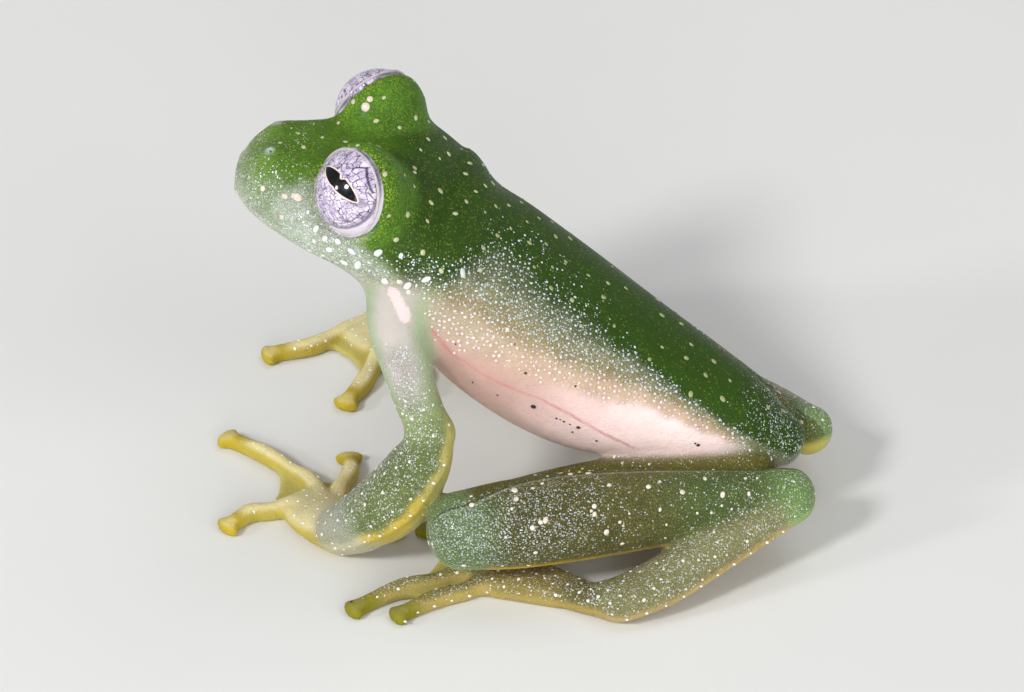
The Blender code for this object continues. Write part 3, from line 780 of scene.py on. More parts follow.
@dataclass
class NetMaker:
    """Lays a net of faces over the place where a distance is zero.

    The grid is finer over the head and near the floor, where the digits are.
    """

    x_stops: tuple[tuple[float, float], ...] = ((-25.6, 0.15), (-22.85, 0.09), (-21.8, 0.13), (-15.4, 0.2), (1.9, 0.2))
    y_stops: tuple[tuple[float, float], ...] = (
        (-11.4, 0.17), (-5.4, 0.14), (-1.55, 0.1), (-0.65, 0.14), (0.65, 0.1), (1.55, 0.14), (5.2, 0.17), (12.8, 0.17))
    z_stops: tuple[tuple[float, float], ...] = ((-0.31, 0.13), (1.3, 0.2), (11.7, 0.15), (19.2, 0.15))
    coarse: int = 4
    band: float = 0.75

    def values(self, distance: Callable[[Array], Array], lines: list[Array]) -> Array:
        """Distances on the grid, exact near the surface and only signed elsewhere."""
        shape = tuple(len(line) for line in lines)
        rough_lines = [np.append(line[:: self.coarse], line[-1] + 1e-6) for line in lines]
        rough_shape = tuple(len(line) for line in rough_lines)
        mesh = np.stack(np.meshgrid(*rough_lines, indexing="ij"), axis=-1).reshape(-1, 3)
        rough = distance(mesh).reshape(rough_shape)
        spread = [np.minimum(np.arange(n) // self.coarse, m - 2) for n, m in zip(shape, rough_shape)]
        low = np.full(tuple(m - 1 for m in rough_shape), np.inf)
        for corner in np.ndindex(2, 2, 2):
            part = rough[tuple(slice(c, c + m - 1) for c, m in zip(corner, rough_shape))]
            low = np.minimum(low, np.abs(part))
        near = (low < self.band)[np.ix_(*spread)]
        field_values = np.sign(rough[:-1, :-1, :-1][np.ix_(*spread)]) * FAR
        where = np.argwhere(near)
        spots = np.stack([line[where[:, axis]] for axis, line in enumerate(lines)], axis=1)
        field_values[tuple(where.T)] = distance(spots)
        return field_values

    def build(self, distance: Callable[[Array], Array]) -> Net:
        """Make the net.

        Args:
            distance: Function from points to distances.

        Returns:
            A closed net whose faces point outward.
        """
        lines = [stretch(stops) for stops in (self.x_stops, self.y_stops, self.z_stops)]
        grid = self.values(distance, lines)
        inside = grid < 0.0
        cells = tuple(n - 1 for n in grid.shape)
        count = np.zeros(cells, dtype=np.int8)
        for corner in np.ndindex(2, 2, 2):
            count += inside[tuple(slice(c, c + n) for c, n in zip(corner, cells))]
        active = np.argwhere((count > 0) & (count < 8))
        number = np.full(cells, -1, dtype=np.int64)
        number[tuple(active.T)] = np.arange(len(active))
        total = np.zeros((len(active), 3))
        hits = np.zeros(len(active))
        for axis in range(3):
            others = [a for a in range(3) if a != axis]
            for first, second in np.ndindex(2, 2):
                start = active.copy()
                start[:, others[0]] += first
                start[:, others[1]] += second
                end = start.copy()
                end[:, axis] += 1
                one = grid[tuple(start.T)]
                two = grid[tuple(end.T)]
                cross = (one < 0.0) != (two < 0.0)
                share = np.where(cross, one / np.where(cross, one - two, 1.0), 0.0)
                spot = np.stack([lines[a][start[:, a]] for a in range(3)], axis=1)
                step = lines[axis][end[:, axis]] - lines[axis][start[:, axis]]
                spot[:, axis] += share * step
                total += np.where(cross[:, None], spot, 0.0)
                hits += cross
        return Net(total / hits[:, None], self.faces(inside, number))

    @staticmethod
    def faces(inside: Array, number: Array) -> Array:
        """Four-sided faces round every grid edge that crosses the surface."""
        out = []
        for axis in range(3):
            b, c = (axis + 1) % 3, (axis + 2) % 3
            low = [slice(1, -1)] * 3
            low[axis] = slice(0, -1)
            high = list(low)
            high[axis] = slice(1, None)
            change = inside[tuple(low)] != inside[tuple(high)]
            where = np.argwhere(change)
            where[:, b] += 1
            where[:, c] += 1
            leaving = inside[tuple(where.T)]
            ring = []
            for shift_b, shift_c in ((-1, -1), (0, -1), (0, 0), (-1, 0)):
                cell = where.copy()
                cell[:, b] += shift_b
                cell[:, c] += shift_c
                ring.append(number[tuple(cell.T)])
            quads = np.stack(ring, axis=1)
            quads[~leaving] = quads[~leaving][:, ::-1]
            out.append(quads)
        return np.vstack(out)


def settle(net: Net, frog: Frog, rounds: int = 3, limit: float = 0.06) -> None:
    """Move a net's points onto the skin along the slope of its distance."""
    for _ in range(rounds):
        here, slope = frog.slope(net.points)
        size = np.maximum(np.einsum("ij,ij->i", slope, slope), 0.05)
        move = -slope * (here / size)[:, None]
        length = np.linalg.norm(move, axis=1)
        scale = np.minimum(1.0, limit / np.maximum(length, 1e-9))
        net.points += move * scale[:, None]


def to_object(name: str, net: Net, shift: Array) -> bpy.types.Object:
    """Make a mesh object from a net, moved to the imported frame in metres."""
    data = bpy.data.meshes.new(name)
    data.vertices.add(len(net.points))
    data.vertices.foreach_set("co", ((net.points + shift) * MM).astype(np.float32).ravel())
    sides = net.faces.shape[1]
    data.loops.add(net.faces.size)
    data.loops.foreach_set("vertex_index", net.faces.astype(np.int32).ravel())
    data.polygons.add(len(net.faces))
    data.polygons.foreach_set("loop_start", (np.arange(len(net.faces)) * sides).astype(np.int32))
    data.update(calc_edges=True)
    data.shade_smooth()
    thing = bpy.data.objects.new(name, data)
    bpy.context.scene.collection.objects.link(thing)
    return thing


def frame_shift(head: Head) -> Array:
    """The way from the frog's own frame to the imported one, read from the left eye's node."""
    low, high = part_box("eye_left")
    packed = 0.5 * (np.array(low) + np.array(high)) / MM
    eye = Vector((head.eye[0], -head.eye[1], head.eye[2]))
    return packed - np.array(head.turn() @ eye)


def build_skin(frog: Frog, shift: Array) -> bpy.types.Object:
    """Lay the skin's net and settle it."""
    net = NetMaker().build(frog.distance)
    settle(net, frog)
    log.info("skin net: %d points, %d faces", len(net.points), len(net.faces))
    return to_object("skin", net, shift)


@dataclass(frozen=True)
class Palette:
    """Colours of the skin in linear light."""

    back: Colour = (0.03, 0.074, 0.004)
    crown: Colour = (0.082, 0.175, 0.012)
    lid: Colour = (0.095, 0.23, 0.02)
    snout: Colour = (0.235, 0.34, 0.105)
    lip: Colour = (0.46, 0.52, 0.39)
    cheek: Colour = (0.26, 0.35, 0.16)
    throat: Colour = (0.62, 0.60, 0.48)
    eye_rim: Colour = (0.50, 0.47, 0.48)
    flank_high: Colour = (0.27, 0.27, 0.15)
    flank: Colour = (0.385, 0.3, 0.155)
    flank_low: Colour = (0.6, 0.44, 0.31)
    belly: Colour = (0.57, 0.37, 0.315)
    # The rear belly's colour is paler and made brighter to hold a painted highlight.
    belly_rear_and_highlight: Colour = (0.95, 0.74, 0.71)
    arm: Colour = (0.5, 0.46, 0.42)
    arm_edge: Colour = (0.34, 0.42, 0.26)
    elbow: Colour = (0.27, 0.34, 0.14)
    fore: Colour = (0.24, 0.29, 0.1)
    fore_edge: Colour = (0.58, 0.42, 0.05)
    fringe: Colour = (0.5, 0.44, 0.14)
    wrist: Colour = (0.46, 0.47, 0.43)
    palm: Colour = (0.68, 0.6, 0.33)
    digit: Colour = (0.47, 0.37, 0.06)
    disc: Colour = (0.45, 0.34, 0.025)
    web: Colour = (0.50, 0.44, 0.13)
    thigh: Colour = (0.155, 0.135, 0.022)
    shank: Colour = (0.19, 0.165, 0.05)
    knee: Colour = (0.28, 0.4, 0.19)
    under_leg: Colour = (0.62, 0.40, 0.05)
    heel: Colour = (0.31, 0.47, 0.17)
    tarsus: Colour = (0.34, 0.32, 0.15)
    tarsus_edge: Colour = (0.46, 0.34, 0.17)
    foot: Colour = (0.185, 0.165, 0.055)
    foot_edge: Colour = (0.4, 0.3, 0.09)
    foot_disc: Colour = (0.22, 0.2, 0.006)


def tint(first: Array | Colour, second: Array | Colour, share: Array) -> Array:
    """Mix two colours by a share for each point."""
    weight = np.asarray(share)[:, None]
    return np.asarray(first) * (1.0 - weight) + np.asarray(second) * weight


def wobble(points: Array, size: float, seed: float) -> Array:
    """A gentle uneven wave over the points, between about -1 and 1."""
    total = np.zeros(len(points))
    for k in range(5):
        way = np.array([math.sin(seed + 2.1 * k), math.cos(seed * 1.7 + 3.7 * k), math.sin(seed * 0.6 + 5.3 * k)])
        way /= np.linalg.norm(way)
        total += np.sin(points @ way * (2.0 * math.pi / (size * (0.7 + 0.22 * k))) + seed + 1.9 * k)
    return total / 2.6


def segment_gap(points: Array, path: tuple[tuple[float, float, float], ...]) -> Array:
    """Distance from each point to a path drawn on both sides of the body."""
    best = np.full(len(points), 9.0)
    marks = np.array(path)
    for sign in (-1.0, 1.0):
        line = marks * (1.0, -sign, 1.0)
        for start, end in zip(line, line[1:]):
            span = end - start
            along = np.clip((points - start) @ span / (span @ span), 0.0, 1.0)
            best = np.minimum(best, np.linalg.norm(points - start - along[:, None] * span, axis=1))
    return best


SPECKS: Rows = (
    (-10.56, -4.45, 7.49, 0.12), (-8.71, -4.12, 6.43, 0.085), (-9.61, -4.3, 6.9, 0.065), (-9.3, -4.2, 6.75, 0.05),
    (-13.14, -4.28, 8.32, 0.06), (-10.86, -4.64, 9.26, 0.06), (-13.83, -4.55, 10.29, 0.045), (-8.82, -4.25, 8.59, 0.05),
    (-8.0, -3.7, 5.6, 0.06), (-8.97, -4.05, 6.09, 0.06), (-12.09, -4.44, 7.85, 0.045), (-11.36, -4.42, 10.51, 0.045),
    (-9.05, -4.2, 6.6, 0.04), (-9.45, -4.28, 6.85, 0.04), (-3.83, -2.77, 5.19, 0.08), (-3.95, -2.8, 5.3, 0.05),
    (-9.9, 4.3, 6.9, 0.09), (-11.6, 4.5, 8.6, 0.05), (-7.9, 3.9, 6.4, 0.06), (-12.7, 4.3, 8.5, 0.05),
    (-13.55, -8.2, 1.02, 0.09), (-17.3, -10.1, 0.72, 0.06),
)
MARKS: Rows = (
    (-18.75, 1.28, 17.74, 0.2), (-18.6, 1.6, 17.9, 0.13), (-18.85, -1.45, 17.8, 0.1), (-20.79, -2.9, 15.69, 0.17),
    (-20.98, -2.92, 15.76, 0.11), (-21.34, -2.91, 15.68, 0.12), (-22.31, -2.7, 15.82, 0.13), (-21.4, -3.3, 14.89, 0.11),
    (-16.13, -1.44, 16.54, 0.09), (-22.3, 2.5, 15.7, 0.1), (-21.3, 2.85, 15.5, 0.13), (-20.8, 2.95, 15.5, 0.12),
    (-16.13, -4.75, 13.24, 0.12), (-15.75, -4.79, 12.81, 0.13), (-8.79, -5.54, 5.0, 0.12), (-9.22, -5.28, 4.82, 0.08),
    (-8.47, -5.2, 4.91, 0.08), (-10.85, -7.21, 5.09, 0.13), (-9.39, -8.04, 4.34, 0.15), (-9.6, -8.1, 4.25, 0.09),
    (-7.47, -7.22, 4.31, 0.11), (-7.6, -7.2, 4.45, 0.07), (-4.09, -5.21, 4.46, 0.11), (-6.94, -7.3, 3.51, 0.14),
    (-7.47, 7.22, 4.31, 0.12), (-10.85, 7.21, 5.09, 0.13),
)


@dataclass
class Painter:
    """Gives every point of the skin its colour and its share of each kind of fleck."""

    frog: Frog
    palette: Palette = Palette()
    vein: tuple[tuple[float, float, float], ...] = (
        (-14.84, -4.58, 10.89), (-14.12, -4.43, 9.82), (-12.9, -4.55, 9.1), (-11.84, -4.62, 8.57),
        (-10.2, -4.5, 7.95), (-8.89, -4.3, 7.09), (-7.52, -3.83, 5.97), (-6.2, -3.3, 4.9),
    )
    branch: tuple[tuple[float, float, float], ...] = (
        (-12.6, -4.57, 8.9), (-12.2, -4.4, 8.1), (-11.9, -4.1, 7.3),
    )
    dab: tuple[tuple[float, float, float], ...] = ((-16.4, -4.72, 12.7), (-15.85, -5.05, 11.75))
    def green_edge(self, along: Array) -> Array:
        """How high on the trunk's side the green ends."""
        return np.interp(along, (0.0, 0.11, 0.23, 0.4, 0.75, 0.9, 1.0), (0.35, 0.5, 0.7, 0.84, 0.88, 0.82, 0.68))

    def belly_edge(self, along: Array) -> Array:
        """How high on the trunk's side the plain belly ends."""
        return np.interp(along, (0.0, 0.23, 0.36, 0.5, 0.66, 0.77, 0.86, 1.0),
                         (0.1, 0.34, 0.4, 0.24, 0.04, -0.14, -0.26, -0.45))

    def paint(self, points: Array) -> dict[str, Array]:
        """Colour the points.

        Args:
            points: Rows of x, y and z in the frog's own frame.

        Returns:
            Arrays by attribute name: the tones, the shares of each fleck, and the gaps to the
            vein, the dab, the lids and the nostrils.
        """
        count = len(points)
        c = self.palette
        layers = [self.paint_head(points), self.paint_trunk(points)]
        for side in Side:
            arm = self.frog.arms[side]
            leg = self.frog.legs[side]
            layers += [self.paint_upper(points, arm.upper), self.paint_fore(points, arm.fore),
                       *self.paint_paw(points, arm.hand, (c.palm, c.digit, c.disc), 0.04),
                       self.paint_thigh(points, leg.thigh), self.paint_shank(points, leg.shank),
                       self.paint_tarsus(points, leg.tarsus),
                       *self.paint_paw(points, leg.foot, (c.foot, c.foot_edge, c.foot_disc), 0.8)]
        nearest = np.min([layer["gap"] for layer in layers], axis=0)
        total = np.zeros(count)
        out: dict[str, Array] = {}
        for layer in layers:
            weight = np.exp(-(layer["gap"] - nearest) / 0.16)
            total += weight
            for name, value in layer.items():
                if name == "gap":
                    continue
                part = weight[:, None] * value if value.ndim == 2 else weight * value
                out[name] = out[name] + part if name in out else part
        out = {name: value / (total[:, None] if value.ndim == 2 else total) for name, value in out.items()}
        out["vein"] = np.minimum(segment_gap(points, self.vein), segment_gap(points, self.branch) + 0.04)
        out["dab"] = segment_gap(points, self.dab)
        spots = self.frog.head.unturned(points)
        far, angle = self.frog.head.eye_angles(spots)
        beyond = np.abs((angle - self.frog.head.opening) * self.frog.head.eye_radius)
        out["lid_gap"] = beyond + 3.0 * np.clip(far - self.frog.head.eye_radius - 0.3, 0.0, 1.0)
        mirrored = spots * (1.0, 0.0, 1.0) + np.abs(spots) * (0.0, 1.0, 0.0)
        out["nostril"] = np.minimum(np.linalg.norm(mirrored - np.array(self.frog.head.nostril), axis=1), 3.0)
        return out

    def layer(self, points: Array, gap: Array, tone: Array, **shares: Array | float) -> dict[str, Array]:
        """One part's colour with its shares, each filled in where a part has none.

        Args:
            points: The points that are coloured.
            gap: Their distance from the part.
            tone: The part's colour at each point.
            shares: Values by attribute name.

        Returns:
            The layer.
        """
        out = {"gap": gap, "tone": tone}
        # Shares of each fleck; the first is the share of painted glints.
        for name in ("silver", "beads", "spots", "dots", "enamel", "stipple", "mesh", "crease", "crease_on"):
            out[name] = np.broadcast_to(np.asarray(shares.get(name, 0.0), dtype=float), gap.shape)
        out["bead_size"] = np.broadcast_to(np.asarray(shares.get("bead_size", 0.8), dtype=float), gap.shape)
        for name, usual in (("bead", (0.58, 0.66, 0.62)), ("dot", (0.80, 0.68, 0.58))):
            colour = np.asarray(shares.get(name, usual), dtype=float)
            out[name] = np.broadcast_to(colour, (len(gap), 3))
        return out

    def paint_head(self, points: Array) -> dict[str, Array]:
        """Green crown, pale snout and lips, bright lids and whitish throat."""
        c = self.palette
        head = self.frog.head
        spots = head.unturned(points)
        x = spots[:, 0]
        above = head.above_mouth(spots) + 0.12 * wobble(points, 1.3, 2.0)
        far, angle = head.eye_angles(spots)
        tone = tint(c.crown, c.back, smooth_step(-19.0, -16.0, x))
        tone = tint(tone, c.snout, 0.85 * smooth_step(-21.4, -23.9, x))
        edge = np.interp(x, (-24.0, -22.5, -20.8, -19.3, -17.8, -16.0), (1.6, 1.85, 2.6, 2.5, 1.4, 0.9))
        low = smooth_step(edge + 0.45, edge - 0.75, above)
        cheek = tint(c.cheek, c.lip, smooth_step(-15.6, -18.4, x))
        cheek = tint(cheek, c.snout, 0.6 * smooth_step(-21.2, -22.8, x) * smooth_step(0.4, 1.3, above))
        tone = tint(tone, cheek, low)
        tone = tint(tone, (0.64, 0.70, 0.62), 0.5 * bell(x + 20.9, 0.9) * bell(above - 1.1, 0.6))
        tone = tint(tone, c.throat, smooth_step(0.05, -0.6, above) * smooth_step(-14.5, -17.5, x) * 0.8)
        tone = tint(tone, (0.70, 0.72, 0.62), 0.7 * bell(above - 0.12, 0.13) * smooth_step(-18.0, -20.5, x))
        dome = smooth_step(head.lid_radius + 0.75, head.lid_radius + 0.1, far) * smooth_step(1.0, 1.8, above)
        tone = tint(tone, c.lid, 0.75 * dome * smooth_step(-20.4, -19.3, x))
        degrees = np.degrees(angle) - math.degrees(head.opening)
        near = smooth_step(head.lid_radius + 0.5, head.lid_radius + 0.2, far)
        under = near * smooth_step(14.0, 3.0, degrees) * smooth_step(16.2, 15.0, spots[:, 2])
        tone = tint(tone, (0.50, 0.53, 0.46), 0.65 * under)
        base = head.base(spots)
        gap = np.minimum(base, np.where(far < head.lid_radius + 0.4, far - head.lid_radius, 9.0))
        rear = smooth_step(-17.0, -15.6, x) * smooth_step(0.4, 1.0, above) * smooth_step(2.4, 1.6, above)
        band = smooth_step(-0.25, 0.15, above) * smooth_step(1.9, 1.1, above)
        jaw = smooth_step(-18.6, -16.6, x)
        enamel = band * smooth_step(-23.6, -21.5, x) * (0.35 + 0.65 * smooth_step(-21.4, -20.0, x))
        # Painted glints on the lower head, behind the eye and along the green's edge.
        silver = 0.75 * low + 0.6 * rear + 0.35 * bell(above - edge - 0.2, 0.7) * smooth_step(-20.0, -21.5, x)
        return self.layer(points, gap, tone, silver=silver, beads=0.5 * rear, enamel=enamel * (1.0 - 0.4 * jaw),
                          bead_size=0.35 + 0.65 * smooth_step(-21.6, -19.4, x),
                          spots=0.8 * smooth_step(edge, edge + 0.5, above) * (degrees > 9.0),
                          stipple=0.5 + 0.5 * dome, bead=(0.70, 0.78, 0.80), dot=(0.50, 0.50, 0.28))

    def paint_trunk(self, points: Array) -> dict[str, Array]:
        """Green back, beaded olive flank that turns peach, and a pink-white belly."""
        c = self.palette
        place = self.frog.trunk.locate(points)
        wave = 0.03 * wobble(points, 2.6, 1.0) + 0.025 * wobble(points, 0.8, 4.0)
        far_side = smooth_step(0.0, 1.5, points[:, 1]) * smooth_step(0.15, 0.5, place.along)
        top = self.green_edge(place.along) - 0.3 * far_side
        bottom = self.belly_edge(place.along)
        share = (place.rise + wave - bottom) / (top - bottom)
        # Towards the rear the belly turns paler and brighter, partly a painted highlight.
        belly = tint(c.belly, c.belly_rear_and_highlight, smooth_step(0.7, 0.3, place.along))
        chest = smooth_step(0.7, 0.92, place.along) * smooth_step(-0.35, -0.8, place.rise)
        belly = tint(belly, (0.68, 0.55, 0.47), chest)
        front = smooth_step(0.62, 0.86, place.along)
        flank_low = tint(c.flank_low, (0.50, 0.42, 0.30), front)
        tone = tint(belly, flank_low, smooth_step(-0.15, 0.25, share))
        tone = tint(tone, c.flank, smooth_step(0.3, 0.66, share))
        tone = tint(tone, c.flank_high, smooth_step(0.52, 0.92, share))
        tone = tint(tone, c.back, smooth_step(0.76, 1.12, share))
        beads = smooth_step(-0.12, 0.2, share) * smooth_step(1.26, 0.9, share)
        beads *= smooth_step(0.0, 0.16, place.along)
        high = smooth_step(0.35, 0.7, share)
        vent = smooth_step(0.17, 0.03, place.along) * smooth_step(-0.7, 0.0, place.rise)
        tone = tint(tone, (0.13, 0.21, 0.11), 0.85 * vent * smooth_step(1.1, 0.6, share))
        bead = tint((0.88, 0.66, 0.63), (0.58, 0.66, 0.68), high)
        # Painted glints among the flank's beads, more higher up, and round the vent.
        silver = beads * (0.15 + 0.5 * high) + 0.7 * vent
        return self.layer(points, place.distance, tone, beads=beads, bead=bead, silver=silver,
                          bead_size=1.15 + 0.45 * smooth_step(0.7, 0.2, share),
                          spots=0.7 * smooth_step(0.85, 1.15, share) + 0.1 * beads,
                          dot=tint((0.80, 0.66, 0.56), (0.34, 0.37, 0.16), smooth_step(0.6, 1.2, share)),
                          stipple=0.15 + 0.1 * smooth_step(0.7, 1.2, share) - 0.15 * smooth_step(0.3, -0.1, share))

    def paint_upper(self, points: Array, tube: Tube) -> dict[str, Array]:
        """Pale, glassy upper arm with a patch of beads and painted glints on its outer face."""
        c = self.palette
        place = tube.locate(points)
        tone = tint(c.arm, c.arm_edge, smooth_step(0.35, 0.95, np.abs(place.rise)))
        tone = tint(tone, c.elbow, smooth_step(0.62, 1.0, place.along))
        # shine places painted glints and beads on the outer face.
        shine = smooth_step(0.42, 0.52, place.along) * bell(place.rise + 0.05, 0.55) * smooth_step(0.1, 0.6, place.across)
        beads = 0.5 * shine + 0.12 * smooth_step(0.5, 0.8, place.along)
        return self.layer(points, place.distance, tone, silver=shine, beads=beads,
                          bead=(0.80, 0.82, 0.84), dots=0.35 * smooth_step(0.5, 0.9, place.along),
                          stipple=0.3 * smooth_step(0.6, 1.0, place.along))

    def paint_fore(self, points: Array, tube: Tube) -> dict[str, Array]:
        """Green-banded forearm with an orange line and a pale outer fold."""
        c = self.palette
        place = tube.locate(points)
        angle = np.degrees(np.arctan2(place.rise, place.across)) + 5.0 * wobble(points, 1.6, 3.0)
        band = smooth_step(-18.0, -2.0, angle) * smooth_step(185.0, 165.0, angle)
        tone = tint(c.fringe, c.fore, band)
        orange = smooth_step(-42.0, -32.0, angle) * smooth_step(-4.0, -16.0, angle) * smooth_step(0.2, 0.4, place.along)
        tone = tint(tone, c.fore_edge, 0.8 * orange * smooth_step(0.9, 0.7, place.along))
        tone = tint(tone, c.wrist, smooth_step(0.66, 0.88, place.along) * 0.8)
        # Painted glints along the forearm's top, strongest on its upward face.
        top = band * smooth_step(0.95, 0.6, place.along)
        painted_glint_streak = 0.4 + 0.6 * bell(angle - 75.0, 50.0)
        return self.layer(points, place.distance, tone, silver=1.3 * top * painted_glint_streak, beads=0.16 * top * painted_glint_streak,
                          bead=(0.70, 0.76, 0.72), dots=0.55 * np.maximum(band, smooth_step(0.6, 0.8, place.along)),
                          stipple=0.3 * band, mesh=0.55 * band)

    def paint_paw(self, points: Array, paw: Paw, tones: tuple[Colour, Colour, Colour],
                  silver: float) -> list[dict[str, Array]]:
        """Palm or sole, golden digits and discs, and the webs.

        Args:
            points: The points that are coloured.
            paw: The hand or foot.
            tones: The colours of its core, its digits' edges and its discs.
            silver: How much it glitters.

        Returns:
            A layer for each form of the paw.
        """
        middle, edge, disc = tones
        place = paw.palm.locate(points)
        top = smooth_step(-0.1, 0.5, place.rise)
        tone = tint(edge, middle, top)
        # The palm's top gets painted glints.
        out = [self.layer(points, place.distance, tone, silver=silver * top, dots=1.0 * top, mesh=0.3 * silver,
                          beads=0.25 * silver * top, bead=(0.80, 0.80, 0.74), dot=(0.93, 0.86, 0.80))]
        for tube in paw.tubes:
            place = tube.locate(points)
            ridge = smooth_step(-0.05, 0.5, place.rise) * smooth_step(0.95, 0.5, np.abs(place.across))
            tone = tint(edge, tuple(1.2 * v for v in middle), 0.85 * ridge * smooth_step(0.95, 0.75, place.along))
            tone = tint(tone, disc, smooth_step(0.8, 0.95, place.along))
            # A painted highlight on the top of each disc.
            tone = tint(tone, tuple(min(1.0, 1.25 * v + 0.08) for v in middle),
                        0.3 * smooth_step(0.9, 0.97, place.along) * smooth_step(0.5, 0.9, place.rise))
            # shine places painted glints, beads and cream dots along each digit's top.
            shine = ridge * smooth_step(0.95, 0.8, place.along)
            out.append(self.layer(points, place.distance, tone, silver=(0.04 + silver) * shine,
                                  dots=0.7 * shine, beads=0.1 * shine, bead=(0.86, 0.84, 0.76),
                                  dot=(0.93, 0.86, 0.80)))
        for sheet in paw.webs:
            gap = sheet.distance(points)
            out.append(self.layer(points, gap, np.broadcast_to(np.array(self.palette.web), (len(points), 3))))
        return out

    def paint_thigh(self, points: Array, tube: Tube) -> dict[str, Array]:
        """Olive-brown thigh."""
        c = self.palette
        place = tube.locate(points)
        tone = tint(c.thigh, (0.50, 0.42, 0.26), smooth_step(0.35, -0.45, place.rise))
        tone = tint(tone, c.knee, smooth_step(0.8, 0.98, place.along))
        top = smooth_step(-0.2, 0.4, place.rise)
        # The thigh's top gets a few painted glints.
        return self.layer(points, place.distance, tone, silver=0.15 * top, spots=0.35 * top, dots=0.15 * top,
                          stipple=0.2, mesh=0.5 * top, crease=1.0, crease_on=1.0)

    def paint_shank(self, points: Array, tube: Tube) -> dict[str, Array]:
        """Netted olive shank, greener at the knee and heel, orange underneath."""
        c = self.palette
        place = tube.locate(points)
        angle = np.degrees(np.arctan2(place.rise, place.across))
        angle = np.where(angle < -90.0, angle + 360.0, angle)
        tone = tint(c.shank, c.knee, smooth_step(0.16, 0.02, place.along) * 0.9)
        tone = tint(tone, (0.13, 0.24, 0.07), 0.6 * smooth_step(0.5, 0.75, place.along))
        tone = tint(tone, c.heel, smooth_step(0.86, 0.97, place.along))
        line = np.interp(place.along, (0.0, 0.04, 0.12, 0.21, 0.31, 0.48), (73.0, 77.0, 92.0, 103.0, 108.0, 107.0))
        behind = np.radians(angle - line) * 1.6
        tone = tint(tone, c.thigh, smooth_step(-0.05, 0.15, behind) * smooth_step(0.0, 0.06, place.along))
        outer = smooth_step(-46.0, -28.0, angle) * smooth_step(200.0, 170.0, angle)
        tone = tint(c.under_leg, tone, np.maximum(outer, smooth_step(0.1, 0.03, place.along)))
        # glow and ends place painted glints: a wet-looking patch near the knee and more at both ends.
        glow = bell(place.along - 0.17, 0.2) * bell(angle - 40.0, 55.0)
        ends = 0.3 * smooth_step(0.6, 0.9, place.along) + 0.25 * smooth_step(0.14, 0.03, place.along)
        silver = outer * (0.14 + 1.4 * glow + ends) * smooth_step(0.4, -0.1, behind)
        # The crease attributes place a line of painted shade and a painted highlight along the thigh's edge.
        return self.layer(points, place.distance, tone, silver=silver, beads=outer * (0.02 + 0.1 * glow), bead_size=0.6,
                          bead=(0.70, 0.74, 0.74), spots=0.35 * outer, dots=0.12 * outer, stipple=0.3 * outer, mesh=outer,
                          crease=behind, crease_on=smooth_step(70.0, 45.0, np.abs(angle - line)))

    def paint_tarsus(self, points: Array, tube: Tube) -> dict[str, Array]:
        """Green tarsus with a brownish-orange outer margin."""
        c = self.palette
        place = tube.locate(points)
        angle = np.degrees(np.arctan2(place.rise, place.across))
        angle = np.where(angle < -120.0, angle + 360.0, angle)
        band = smooth_step(-14.0, 6.0, angle) * smooth_step(200.0, 175.0, angle)
        tone = tint(c.tarsus_edge, c.tarsus, band)
        orange = bell(angle + 24.0, 14.0) * smooth_step(0.1, 0.25, place.along) * smooth_step(0.85, 0.6, place.along)
        tone = tint(tone, c.fore_edge, 0.6 * orange)
        tone = tint(tone, c.heel, smooth_step(0.16, 0.02, place.along))
        # Its top band gets painted glints.
        return self.layer(points, place.distance, tone, silver=0.55 * band, beads=0.08 * band, dots=0.5 * band,
                          bead=(0.74, 0.80, 0.76), stipple=0.2 * band, mesh=0.5 * band)

    def apply(self, thing: bpy.types.Object, shift: Array) -> None:
        """Store the colours on an object's points.

        Args:
            thing: The skin's object.
            shift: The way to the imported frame.
        """
        data = thing.data
        points = np.empty(len(data.vertices) * 3, dtype=np.float32)
        data.vertices.foreach_get("co", points)
        painted = self.paint(points.reshape(-1, 3).astype(float) / MM - shift)
        for name, value in painted.items():
            if value.ndim == 2:
                layer = data.attributes.new(name, "FLOAT_COLOR", "POINT")
                full = np.concatenate([value, np.ones((len(value), 1))], axis=1)
                layer.data.foreach_set("color", full.astype(np.float32).ravel())
            else:
                layer = data.attributes.new(name, "FLOAT", "POINT")
                layer.data.foreach_set("value", value.astype(np.float32))


Socket = bpy.types.NodeSocket
Value = Socket | float | int | tuple | str


